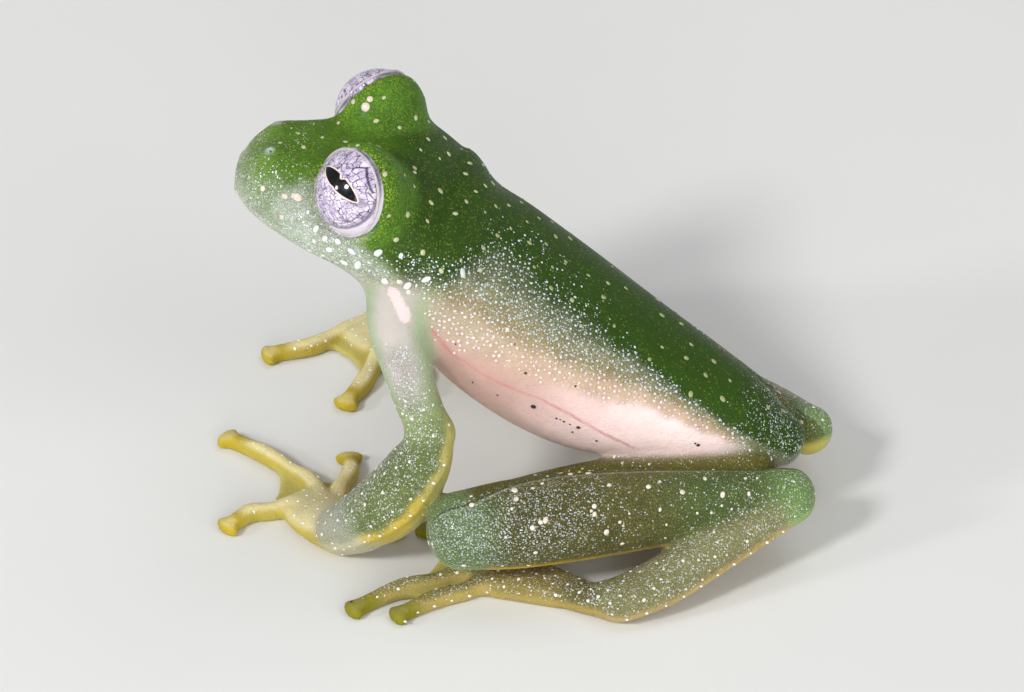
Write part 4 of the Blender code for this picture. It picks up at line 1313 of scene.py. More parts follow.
class Graph:
    """Adds nodes to one node tree and joins them."""

    def __init__(self, tree: bpy.types.NodeTree) -> None:
        """Hold the tree."""
        self.tree = tree

    def add(self, kind: str, inputs: dict[str | int, Value] | None = None, **settings: object) -> bpy.types.Node:
        """Add a node.

        Args:
            kind: The node's type.
            inputs: Values or sockets by input name or number.
            settings: Properties of the node.

        Returns:
            The node.
        """
        node = self.tree.nodes.new(kind)
        for name, value in settings.items():
            setattr(node, name, value)
        for key, value in (inputs or {}).items():
            if isinstance(value, bpy.types.NodeSocket):
                self.tree.links.new(value, node.inputs[key])
            else:
                node.inputs[key].default_value = value
        return node

    def maths(self, operation: str, first: Value, second: Value = 0.0) -> Socket:
        """One sum of two numbers."""
        return self.add("ShaderNodeMath", {0: first, 1: second}, operation=operation).outputs[0]

    def step(self, value: Value, low: float, high: float, start: float = 0.0, end: float = 1.0) -> Socket:
        """A soft step from start at low to end at high."""
        node = self.add("ShaderNodeMapRange", {"Value": value, "From Min": low, "From Max": high,
                                               "To Min": start, "To Max": end}, interpolation_type="SMOOTHSTEP")
        return node.outputs[0]

    def mix(self, share: Value, first: Value, second: Value, mode: str = "MIX") -> Socket:
        """Mix two colours."""
        colours = [(*c, 1.0) if isinstance(c, tuple) and len(c) == 3 else c for c in (first, second)]
        node = self.add("ShaderNodeMix", {0: share, 6: colours[0], 7: colours[1]}, data_type="RGBA", blend_type=mode)
        return node.outputs[2]

    def vector(self, operation: str, first: Value, second: Value = (0.0, 0.0, 0.0)) -> Socket:
        """One sum of two vectors."""
        return self.add("ShaderNodeVectorMath", {0: first, 1: second}, operation=operation).outputs[0]

    def attribute(self, name: str, output: str = "Fac") -> Socket:
        """Read one of the mesh's own attributes."""
        return self.add("ShaderNodeAttribute", attribute_name=name).outputs[output]

    def millimetres(self) -> Socket:
        """Object coordinates in millimetres."""
        place = self.add("ShaderNodeTexCoord").outputs["Object"]
        return self.vector("MULTIPLY", place, (1000.0, 1000.0, 1000.0))

    def group(self, tree: bpy.types.NodeTree, inputs: dict[str, Value]) -> bpy.types.Node:
        """Place a node group."""
        node = self.tree.nodes.new("ShaderNodeGroup")
        node.node_tree = tree
        for key, value in inputs.items():
            if isinstance(value, bpy.types.NodeSocket):
                self.tree.links.new(value, node.inputs[key])
            else:
                node.inputs[key].default_value = value
        return node


def new_group(name: str, inputs: dict[str, str], outputs: dict[str, str]) -> tuple[Graph, bpy.types.Node, bpy.types.Node]:
    """Start a shader node group.

    Args:
        name: The group's name.
        inputs: Socket types by input name.
        outputs: Socket types by output name.

    Returns:
        The group's graph, its input node and its output node.
    """
    tree = bpy.data.node_groups.new(name, "ShaderNodeTree")
    for label, kind in inputs.items():
        tree.interface.new_socket(label, in_out="INPUT", socket_type=kind)
    for label, kind in outputs.items():
        tree.interface.new_socket(label, in_out="OUTPUT", socket_type=kind)
    graph = Graph(tree)
    return graph, graph.add("NodeGroupInput"), graph.add("NodeGroupOutput")


class Effects:
    """The shader effects that more than one finish uses."""

    def __init__(self) -> None:
        """Build each group once."""
        self.speckle = self.make_speckle()
        self.cells = self.make_cells()
        self.cloud = self.make_cloud()

    @staticmethod
    def make_speckle() -> bpy.types.NodeTree:
        """Round flecks, of which only a share are there.

        Returns:
            A group with the flecks' mask and a random number for each.
        """
        graph, given, out = new_group(
            "speckle", {"Place": "NodeSocketVector", "Per Millimetre": "NodeSocketFloat",
                        "Size": "NodeSocketFloat", "Share": "NodeSocketFloat"},
            {"Mask": "NodeSocketFloat", "Chance": "NodeSocketFloat"})
        cells = graph.add("ShaderNodeTexVoronoi", {"Vector": given.outputs["Place"],
                          "Scale": given.outputs["Per Millimetre"], "Randomness": 0.9})
        parts = graph.add("ShaderNodeSeparateColor", {0: cells.outputs["Color"]})
        chance = graph.maths("LESS_THAN", parts.outputs[0], given.outputs["Share"])
        size = graph.maths("MULTIPLY", given.outputs["Size"], graph.maths("ADD", 0.65, graph.maths("MULTIPLY", 0.6, parts.outputs[1])))
        ratio = graph.maths("DIVIDE", cells.outputs["Distance"], size)
        mask = graph.maths("MULTIPLY", graph.step(ratio, 1.15, 0.75), chance)
        graph.tree.links.new(mask, out.inputs["Mask"])
        graph.tree.links.new(parts.outputs[2], out.inputs["Chance"])
        return graph.tree

    @staticmethod
    def make_cells() -> bpy.types.NodeTree:
        """A net of thin wandering lines.

        Returns:
            A group with the lines' mask and the cells' own rise.
        """
        graph, given, out = new_group(
            "cell_net", {"Place": "NodeSocketVector", "Per Millimetre": "NodeSocketFloat",
                         "Line": "NodeSocketFloat", "Wander": "NodeSocketFloat"},
            {"Mask": "NodeSocketFloat", "Rise": "NodeSocketFloat"})
        noise = graph.add("ShaderNodeTexNoise", {"Vector": given.outputs["Place"],
                          "Scale": given.outputs["Per Millimetre"], "Detail": 2.0})
        centred = graph.vector("SUBTRACT", noise.outputs["Color"], (0.5, 0.5, 0.5))
        push = graph.add("ShaderNodeVectorMath", {0: centred, "Scale": given.outputs["Wander"]}, operation="SCALE")
        place = graph.vector("ADD", given.outputs["Place"], push.outputs[0])
        cells = graph.add("ShaderNodeTexVoronoi", {"Vector": place, "Scale": given.outputs["Per Millimetre"]},
                          feature="DISTANCE_TO_EDGE")
        ratio = graph.maths("DIVIDE", cells.outputs["Distance"], given.outputs["Line"])
        graph.tree.links.new(graph.step(ratio, 1.4, 0.4), out.inputs["Mask"])
        graph.tree.links.new(graph.step(cells.outputs["Distance"], 0.0, 0.35), out.inputs["Rise"])
        return graph.tree

    @staticmethod
    def make_cloud() -> bpy.types.NodeTree:
        """A soft cloudy change of tone.

        Returns:
            A group with one number about 0.5.
        """
        graph, given, out = new_group("cloud", {"Place": "NodeSocketVector", "Per Millimetre": "NodeSocketFloat"},
                                      {"Amount": "NodeSocketFloat"})
        noise = graph.add("ShaderNodeTexNoise", {"Vector": given.outputs["Place"],
                          "Scale": given.outputs["Per Millimetre"], "Detail": 4.0, "Roughness": 0.6})
        graph.tree.links.new(noise.outputs[0], out.inputs["Amount"])
        return graph.tree


def principled(name: str, **inputs: object) -> tuple[bpy.types.Material, Graph, bpy.types.Node]:
    """Start a material.

    Args:
        name: The material's name.
        inputs: Constants of the shader, by input name with underscores for spaces.

    Returns:
        The material, its graph and its shader node.
    """
    material = bpy.data.materials.new(name)
    material.use_nodes = True
    shader = material.node_tree.nodes["Principled BSDF"]
    for key, value in inputs.items():
        shader.inputs[key.replace("_", " ")].default_value = value
    return material, Graph(material.node_tree), shader


@dataclass(frozen=True)
class SkinFinish:
    """Moist, slightly see-through frog skin with its flecks, fine grain and painted glints."""

    roughness: float = 0.46
    glow: float = 0.4
    glow_scale: float = 0.0007
    coat: float = 0.04
    stipple: Colour = (0.34, 0.45, 0.03)
    # Colour of the painted glints: pale flecks that stand in for sparkle of light on the skin.
    silver: Colour = (0.80, 0.86, 0.90)
    net: Colour = (0.028, 0.05, 0.018)
    vein: Colour = (0.62, 0.22, 0.22)
    dab: Colour = (0.80, 0.64, 0.64)
    lid_edge: Colour = (0.46, 0.43, 0.44)

    def build(self, effects: Effects) -> bpy.types.Material:
        """Make the skin's material.

        Args:
            effects: The shared shader groups.

        Returns:
            The material.
        """
        material, graph, shader = principled(
            "frog_skin", Subsurface_Weight=self.glow, Subsurface_Scale=self.glow_scale,
            Subsurface_Radius=(1.0, 0.9, 0.5), Coat_Roughness=0.2, IOR=1.4, Specular_IOR_Level=0.22)
        place = graph.millimetres()
        cloud = graph.group(effects.cloud, {"Place": place, "Per Millimetre": 0.9}).outputs[0]
        fine = graph.group(effects.cloud, {"Place": place, "Per Millimetre": 6.0}).outputs[0]
        tone = graph.attribute("tone", "Color")
        shade = graph.step(cloud, 0.2, 0.8, 0.78, 1.22)
        tone = graph.mix(graph.maths("ADD", 0.3, graph.attribute("stipple")), tone,
                         graph.add("ShaderNodeCombineColor", {0: shade, 1: shade, 2: shade}).outputs[0], "MULTIPLY")
        dark = graph.maths("MULTIPLY", graph.step(fine, 0.35, 0.75, 0.0, 0.3), graph.maths("ADD", 0.12, graph.attribute("stipple")))
        tone = graph.mix(dark, tone, (0.01, 0.03, 0.0))
        net = graph.group(effects.cells, {"Place": place, "Per Millimetre": 7.5, "Line": 0.16, "Wander": 0.05})
        tone = graph.mix(graph.maths("MULTIPLY", net.outputs[0], graph.maths("MULTIPLY", graph.attribute("mesh"), 0.55)),
                         tone, self.net)
        lid = graph.attribute("lid_gap")
        halo = graph.maths("MULTIPLY", graph.maths("MULTIPLY", graph.step(lid, 1.2, 0.2), 0.5), graph.attribute("stipple"))
        share = graph.maths("ADD", graph.maths("MULTIPLY", graph.attribute("stipple"), 0.75), halo)
        grain = graph.group(effects.speckle, {"Place": place, "Per Millimetre": 10.0, "Size": 0.42, "Share": share})
        tone = graph.mix(graph.maths("MULTIPLY", grain.outputs[0], graph.maths("ADD", 0.28, halo)), tone, self.stipple)
        # Painted glints: pale flecks mixed into the base colour where the skin asks for glitter; below they also lower
        # the roughness, add coat and raise the bump.
        patchy = graph.maths("MULTIPLY", graph.attribute("silver"), graph.step(cloud, 0.3, 0.6, 0.4, 1.0))
        silver = graph.group(effects.speckle, {"Place": place, "Per Millimetre": 12.0, "Size": 0.42, "Share": patchy})
        bright = graph.maths("MULTIPLY", silver.outputs[0], graph.step(silver.outputs[1], 0.0, 1.0, 0.3, 0.95))
        tone = graph.mix(bright, tone, self.silver)
        tone = graph.mix(graph.step(lid, 0.1, 0.05, 0.0, 0.9), tone, self.lid_edge)
        # The crease at the thigh's edge: a dark line of painted shade with a pale line of painted highlight just beside
        # it; the dark line is also sunk in the bump.
        crease = graph.attribute("crease")
        fold = graph.maths("MULTIPLY", graph.step(graph.maths("ABSOLUTE", crease), 0.09, 0.02), graph.attribute("crease_on"))
        crease_highlight = graph.step(graph.maths("ABSOLUTE", graph.maths("ADD", crease, 0.14)), 0.11, 0.03)
        crease_highlight = graph.maths("MULTIPLY", crease_highlight, graph.attribute("crease_on"))
        tone = graph.mix(graph.maths("MULTIPLY", crease_highlight, 0.3), tone, (0.50, 0.55, 0.36))
        tone = graph.mix(graph.maths("MULTIPLY", fold, 0.6), tone, (0.04, 0.05, 0.015))
        # Nostrils: a pale ring in the glint colour as a painted highlight, and a dark pit of painted shade.
        pit = graph.attribute("nostril")
        tone = graph.mix(graph.step(pit, 0.38, 0.26, 0.0, 0.5), tone, self.silver)
        tone = graph.mix(graph.step(pit, 0.22, 0.14, 0.0, 0.85), tone, (0.03, 0.045, 0.015))
        tone = graph.mix(graph.step(graph.attribute("vein"), 0.14, 0.03, 0.0, 0.7), tone, self.vein)
        dab = graph.maths("ADD", graph.attribute("dab"), graph.maths("MULTIPLY", graph.maths("SUBTRACT", fine, 0.5), 0.35))
        tone = graph.mix(graph.step(dab, 0.32, 0.2, 0.0, 0.8), tone, self.dab)
        graph.tree.links.new(tone, shader.inputs["Base Color"])
        rough = graph.maths("SUBTRACT", graph.step(cloud, 0.25, 0.75, self.roughness - 0.06, self.roughness + 0.08),
                            graph.maths("MULTIPLY", graph.attribute("silver"), 0.2))
        graph.tree.links.new(rough, shader.inputs["Roughness"])
        coat = graph.maths("ADD", self.coat, graph.maths("MULTIPLY", silver.outputs[0], 0.8))
        graph.tree.links.new(coat, shader.inputs["Coat Weight"])
        rise = graph.maths("ADD", 0.1, graph.maths("MULTIPLY", graph.attribute("mesh"), 0.9))
        rise = graph.maths("ADD", rise, graph.maths("MULTIPLY", graph.attribute("stipple"), 0.4))
        rise = graph.maths("ADD", rise, graph.attribute("silver"))
        height = graph.maths("MULTIPLY", net.outputs[1], rise)
        height = graph.maths("ADD", height, graph.maths("MULTIPLY", fine, 0.8))
        height = graph.maths("ADD", height, graph.maths("MULTIPLY", silver.outputs[0], 0.3))
        height = graph.maths("SUBTRACT", height, fold)
        bump = graph.add("ShaderNodeBump", {"Height": height, "Strength": 0.9, "Distance": 0.00008})
        graph.tree.links.new(bump.outputs[0], shader.inputs["Normal"])
        return material


@dataclass(frozen=True)
class BeadFinish:
    """Small raised beads and spots that take their colour from the skin's list."""

    name: str
    attribute: str | None = "bead"
    colour: Colour = (0.80, 0.72, 0.50)
    roughness: float = 0.25
    coat: float = 0.6

    def build(self, effects: Effects) -> bpy.types.Material:
        """Make the material.

        Args:
            effects: The shared shader groups.

        Returns:
            The material.
        """
        material, graph, shader = principled(self.name, Coat_Weight=self.coat, Coat_Roughness=0.1,
                                             Subsurface_Weight=0.2, Subsurface_Scale=0.0003)
        cloud = graph.group(effects.cloud, {"Place": graph.millimetres(), "Per Millimetre": 3.0}).outputs[0]
        tone = graph.attribute(self.attribute, "Color") if self.attribute else (*self.colour, 1.0)
        shade = graph.step(cloud, 0.3, 0.7, 0.82, 1.12)
        tone = graph.mix(1.0, tone, graph.add("ShaderNodeCombineColor", {0: shade, 1: shade, 2: shade}).outputs[0], "MULTIPLY")
        graph.tree.links.new(tone, shader.inputs["Base Color"])
        graph.tree.links.new(graph.step(cloud, 0.2, 0.8, self.roughness, self.roughness + 0.15), shader.inputs["Roughness"])
        return material


@dataclass(frozen=True)
class EyeFinish:
    """Silver-lavender iris with a dark net and a lens-shaped level pupil, under a wet coat."""

    iris: Colour = (0.52, 0.43, 0.62)
    iris_pale: Colour = (0.84, 0.77, 0.88)
    net: Colour = (0.05, 0.035, 0.075)
    white: Colour = (0.74, 0.66, 0.76)
    rim: Colour = (0.80, 0.66, 0.56)
    pupil_from: tuple[float, float] = (-0.81, 0.67)
    pupil_to: tuple[float, float] = (1.24, 0.01)
    pupil_half: float = 0.29
    bulge: float = 0.095
    middle: tuple[float, float] = (0.1, 0.1)
    iris_radius: float = 1.6
    stroke: tuple[tuple[float, float], ...] = ((0.48, 1.2), (0.8, 1.36), (1.5, 0.55))

    def line_gap(self, graph: Graph, u: Socket, v: Socket, start: tuple[float, float], end: tuple[float, float]) -> Socket:
        """Distance to a straight stroke on the iris.

        Args:
            graph: The material's graph.
            u: Millimetres to the rear.
            v: Millimetres upward.
            start: One end of the stroke.
            end: Its other end.

        Returns:
            The distance.
        """
        span = (end[0] - start[0], end[1] - start[1])
        size = span[0] ** 2 + span[1] ** 2
        du = graph.maths("SUBTRACT", u, start[0])
        dv = graph.maths("SUBTRACT", v, start[1])
        along = graph.maths("ADD", graph.maths("MULTIPLY", du, span[0] / size), graph.maths("MULTIPLY", dv, span[1] / size))
        along = graph.maths("MINIMUM", graph.maths("MAXIMUM", along, 0.0), 1.0)
        gap_u = graph.maths("SUBTRACT", du, graph.maths("MULTIPLY", along, span[0]))
        gap_v = graph.maths("SUBTRACT", dv, graph.maths("MULTIPLY", along, span[1]))
        return graph.maths("SQRT", graph.maths("ADD", graph.maths("MULTIPLY", gap_u, gap_u),
                                               graph.maths("MULTIPLY", gap_v, gap_v)))

    def pupil_depth(self, graph: Graph, u: Socket, v: Socket) -> Socket:
        """How far inside the pupil's edge a place lies, negative outside it.

        Args:
            graph: The material's graph.
            u: Millimetres to the rear.
            v: Millimetres upward.

        Returns:
            The depth in millimetres.
        """
        span = (self.pupil_to[0] - self.pupil_from[0], self.pupil_to[1] - self.pupil_from[1])
        length = math.hypot(*span)
        way = (span[0] / length, span[1] / length)
        middle = tuple(0.5 * (a + b) for a, b in zip(self.pupil_from, self.pupil_to))
        du = graph.maths("SUBTRACT", u, middle[0])
        dv = graph.maths("SUBTRACT", v, middle[1])
        s = graph.maths("ADD", graph.maths("MULTIPLY", du, 2.0 * way[0] / length),
                        graph.maths("MULTIPLY", dv, 2.0 * way[1] / length))
        crown = graph.maths("SUBTRACT", 1.0, graph.maths("MULTIPLY", s, s))
        q = graph.maths("ADD", graph.maths("MULTIPLY", du, -way[1]), graph.maths("MULTIPLY", dv, way[0]))
        q = graph.maths("SUBTRACT", q, graph.maths("MULTIPLY", crown, self.bulge))
        half = graph.maths("MULTIPLY", graph.maths("POWER", graph.maths("MAXIMUM", crown, 0.0), 0.72), self.pupil_half)
        pinch = graph.step(graph.maths("ABSOLUTE", graph.maths("ADD", s, 0.03)), 0.2, 0.0, 0.0, 0.11)
        upper = graph.step(q, -0.02, 0.05)
        half = graph.maths("SUBTRACT", half, graph.maths("MULTIPLY", pinch, graph.maths("ADD", 0.25, upper)))
        inside = graph.maths("SUBTRACT", half, graph.maths("ABSOLUTE", q))
        ends = graph.maths("MULTIPLY", crown, 0.5 * length)
        return graph.maths("MINIMUM", inside, ends)

    def build(self, effects: Effects) -> bpy.types.Material:
        """Make the eye's material.

        Args:
            effects: The shared shader groups.

        Returns:
            The material.
        """
        material, graph, shader = principled("frog_eye", Coat_Weight=0.9, Coat_Roughness=0.02, Coat_IOR=1.38,
                                             Specular_IOR_Level=0.1, Subsurface_Weight=0.12, Subsurface_Scale=0.0002)
        flat = graph.add("ShaderNodeUVMap", uv_map="iris").outputs[0]
        parts = graph.add("ShaderNodeSeparateXYZ", {0: flat})
        u, v = parts.outputs[0], parts.outputs[1]
        cloud = graph.group(effects.cloud, {"Place": flat, "Per Millimetre": 2.2}).outputs[0]
        fine = graph.group(effects.cloud, {"Place": flat, "Per Millimetre": 9.0}).outputs[0]
        tone = graph.mix(graph.step(cloud, 0.35, 0.68), self.iris, self.iris_pale)
        tone = graph.mix(graph.step(fine, 0.5, 0.8, 0.0, 0.5), tone, (0.30, 0.24, 0.40))
        wide = graph.group(effects.cells, {"Place": flat, "Per Millimetre": 4.2, "Line": 0.045, "Wander": 0.2})
        thin = graph.group(effects.cells, {"Place": flat, "Per Millimetre": 9.0, "Line": 0.06, "Wander": 0.09})
        tone = graph.mix(graph.maths("MULTIPLY", wide.outputs[0], graph.step(cloud, 0.2, 0.55, 0.55, 0.95)), tone, self.net)
        tone = graph.mix(graph.maths("MULTIPLY", thin.outputs[0], graph.step(cloud, 0.7, 0.4, 0.0, 0.5)), tone, self.net)
        for end, size in ((self.pupil_from, 0.3), (self.pupil_to, 0.36)):
            gap = self.line_gap(graph, u, v, end, (end[0] + 0.02, end[1] - 0.01))
            tone = graph.mix(graph.step(gap, size, 0.05, 0.0, 0.75), tone, (0.09, 0.06, 0.11))
        for start, end in zip(self.stroke, self.stroke[1:]):
            gap = graph.maths("ADD", self.line_gap(graph, u, v, start, end), graph.maths("MULTIPLY", graph.maths("SUBTRACT", fine, 0.5), 0.06))
            tone = graph.mix(graph.step(gap, 0.055, 0.015, 0.0, 0.9), tone, self.net)
        ring = self.line_gap(graph, u, v, self.middle, (self.middle[0] + 0.001, self.middle[1]))
        ring = graph.maths("ADD", ring, graph.maths("MULTIPLY", graph.maths("SUBTRACT", cloud, 0.5), 0.08))
        ring = graph.maths("SUBTRACT", ring, graph.step(u, 0.3, -0.9, 0.0, 0.24))
        for radius, line, amount in ((1.3, 0.02, 0.35), (1.42, 0.025, 0.5), (1.52, 0.02, 0.4)):
            off = graph.maths("ABSOLUTE", graph.maths("SUBTRACT", ring, radius))
            here = graph.maths("MULTIPLY", graph.step(off, 2.0 * line, 0.3 * line, 0.0, amount), graph.step(v, 0.2, -0.7))
            tone = graph.mix(here, tone, self.net)
        outside = graph.step(ring, self.iris_radius - 0.02, self.iris_radius + 0.03)
        tone = graph.mix(outside, tone, self.white)
        edge = graph.maths("ABSOLUTE", graph.maths("SUBTRACT", ring, self.iris_radius))
        tone = graph.mix(graph.step(edge, 0.07, 0.015, 0.0, 0.75), tone, (0.10, 0.08, 0.13))
        depth = self.pupil_depth(graph, u, v)
        tone = graph.mix(graph.step(depth, -0.085, -0.05), tone, self.rim)
        tone = graph.mix(graph.step(depth, -0.02, 0.005), tone, (0.003, 0.003, 0.004))
        graph.tree.links.new(tone, shader.inputs["Base Color"])
        graph.tree.links.new(graph.step(cloud, 0.3, 0.7, 0.22, 0.34), shader.inputs["Roughness"])
        height = graph.maths("SUBTRACT", graph.maths("MULTIPLY", fine, 0.4), wide.outputs[0])
        bump = graph.add("ShaderNodeBump", {"Height": height, "Strength": 0.25, "Distance": 0.00002})
        graph.tree.links.new(bump.outputs[0], shader.inputs["Normal"])
        return material


@dataclass(frozen=True)
class FloorFinish:
    """Matt pale studio board."""

    colour: Colour = (0.78, 0.78, 0.76)

    def build(self, effects: Effects) -> bpy.types.Material:
        """Make the floor's material.

        Args:
            effects: The shared shader groups.

        Returns:
            The material.
        """
        material, graph, shader = principled("studio_board", Roughness=0.7)
        cloud = graph.group(effects.cloud, {"Place": graph.millimetres(), "Per Millimetre": 0.05}).outputs[0]
        tone = graph.mix(graph.step(cloud, 0.3, 0.7, 0.0, 0.25), self.colour, tuple(0.94 * c for c in self.colour))
        graph.tree.links.new(tone, shader.inputs["Base Color"])
        return material


@dataclass
class Scatter:
    """Beads or spots strewn over the skin where one of its attributes asks for them."""

    name: str
    attribute: str
    finish: BeadFinish
    spacing: float
    small: float
    large: float
    flat: float = 0.6
    stretch: float = 0.0
    wide: bool = False
    seed: int = 1
    side: Side | None = None

    def tree(self) -> bpy.types.NodeTree:
        """Build the scattering tree once for small beads and once for wide spots.

        Returns:
            The Geometry Nodes tree.
        """
        name = "scatter_spots" if self.wide else "scatter_beads"
        known = bpy.data.node_groups.get(name)
        if known:
            return known
        tree = bpy.data.node_groups.new(name, "GeometryNodeTree")
        sockets = (("Geometry", "NodeSocketGeometry"), ("Spacing", "NodeSocketFloat"), ("Share", "NodeSocketString"),
                   ("Small", "NodeSocketFloat"), ("Large", "NodeSocketFloat"), ("Flat", "NodeSocketFloat"),
                   ("Stretch", "NodeSocketFloat"), ("Seed", "NodeSocketInt"),
                   ("Side", "NodeSocketFloat"), ("Middle", "NodeSocketFloat"), ("Share of Size", "NodeSocketString"),
                   ("Fixed", "NodeSocketFloat"), ("Finish", "NodeSocketMaterial"))
        for label, kind in sockets:
            tree.interface.new_socket(label, in_out="INPUT", socket_type=kind)
        tree.interface.new_socket("Geometry", in_out="OUTPUT", socket_type="NodeSocketGeometry")
        graph = Graph(tree)
        given = graph.add("NodeGroupInput").outputs
        share = graph.add("GeometryNodeInputNamedAttribute", {"Name": given["Share"]}, data_type="FLOAT").outputs["Attribute"]
        where = graph.add("ShaderNodeSeparateXYZ", {0: graph.add("GeometryNodeInputPosition").outputs[0]}).outputs[1]
        off = graph.maths("MULTIPLY", graph.maths("SUBTRACT", where, given["Middle"]), given["Side"])
        share = graph.maths("MULTIPLY", share, graph.maths("GREATER_THAN", off, -1e-7))
        spread = graph.add("GeometryNodeDistributePointsOnFaces", {
            "Mesh": given["Geometry"], "Distance Min": given["Spacing"], "Density Factor": share,
            "Seed": given["Seed"], "Density Max": 1.0e8}, distribute_method="POISSON")
        if self.wide:
            ball = graph.add("GeometryNodeMeshUVSphere", {"Segments": 10, "Rings": 4, "Radius": 1.0})
        else:
            ball = graph.add("GeometryNodeMeshIcoSphere", {"Radius": 1.0, "Subdivisions": 1})
        size = graph.add("FunctionNodeRandomValue", {2: given["Small"], 3: given["Large"], "Seed": 7}, data_type="FLOAT").outputs[1]
        own = graph.add("GeometryNodeInputNamedAttribute", {"Name": given["Share of Size"]}, data_type="FLOAT").outputs["Attribute"]
        fixed = graph.maths("GREATER_THAN", given["Fixed"], 0.5)
        share_of_size = graph.maths("ADD", fixed, graph.maths("MULTIPLY", graph.maths("SUBTRACT", 1.0, fixed), own))
        size = graph.maths("MULTIPLY", size, share_of_size)
        longer = graph.add("FunctionNodeRandomValue", {2: 0.0, 3: given["Stretch"], "Seed": 11}, data_type="FLOAT").outputs[1]
        long_size = graph.maths("MULTIPLY", size, graph.maths("ADD", 1.0, longer))
        scale = graph.add("ShaderNodeCombineXYZ", {0: long_size, 1: size, 2: graph.maths("MULTIPLY", size, given["Flat"])})
        angle = graph.add("FunctionNodeRandomValue", {2: 0.0, 3: 6.283, "Seed": 3}, data_type="FLOAT").outputs[1]
        twist = graph.add("FunctionNodeAxisAngleToRotation", {"Axis": (0.0, 0.0, 1.0), "Angle": angle})
        turned = graph.add("FunctionNodeRotateRotation", {0: spread.outputs["Rotation"], 1: twist.outputs[0]}, rotation_space="LOCAL")
        beads = graph.add("GeometryNodeInstanceOnPoints", {"Points": spread.outputs["Points"], "Instance": ball.outputs["Mesh"],
                          "Rotation": turned.outputs[0], "Scale": scale.outputs[0]})
        real = graph.add("GeometryNodeRealizeInstances", {0: beads.outputs[0]})
        smooth = graph.add("GeometryNodeSetShadeSmooth", {0: real.outputs[0]})
        dressed = graph.add("GeometryNodeSetMaterial", {"Geometry": smooth.outputs[0], "Material": given["Finish"]})
        out = graph.add("NodeGroupOutput")
        tree.links.new(dressed.outputs[0], out.inputs[0])
        return tree

    def build(self, skin: bpy.types.Object, effects: Effects, middle: float) -> bpy.types.Object:
        """Strew the beads and make them one plain mesh.

        Args:
            skin: The painted skin.
            effects: The shared shader groups.
            middle: The y of the frog's mid line in metres.

        Returns:
            The beads' object.
        """
        tree = self.tree()
        host = bpy.data.objects.new(f"{self.name}_host", skin.data.copy())
        bpy.context.scene.collection.objects.link(host)
        modifier = host.modifiers.new("beads", "NODES")
        modifier.node_group = tree
        material = bpy.data.materials.get(self.finish.name) or self.finish.build(effects)
        values = {"Spacing": self.spacing * MM, "Share": self.attribute, "Small": self.small * MM,
                  "Large": self.large * MM, "Flat": self.flat, "Stretch": self.stretch,
                  "Seed": self.seed, "Side": self.side.value if self.side else 0.0, "Middle": middle,
                  "Share of Size": "bead_size", "Finish": material,
                  "Fixed": 0.0 if self.attribute in ("beads", "enamel") else 1.0}
        for item in tree.interface.items_tree:
            if item.in_out == "INPUT" and item.name in values:
                modifier[item.identifier] = values[item.name]
        evaluated = host.evaluated_get(bpy.context.evaluated_depsgraph_get())
        data = bpy.data.meshes.new_from_object(evaluated)
        data.name = self.name
        for name in [a.name for a in data.attributes]:
            if name not in ("position", ".edge_verts", ".corner_vert", ".corner_edge", "sharp_face",
                            "material_index", self.finish.attribute):
                data.attributes.remove(data.attributes[name])
        thing = bpy.data.objects.new(self.name, data)
        bpy.context.scene.collection.objects.link(thing)
        bpy.data.objects.remove(host)
        log.info("%s: %d faces", self.name, len(data.polygons))
        return thing


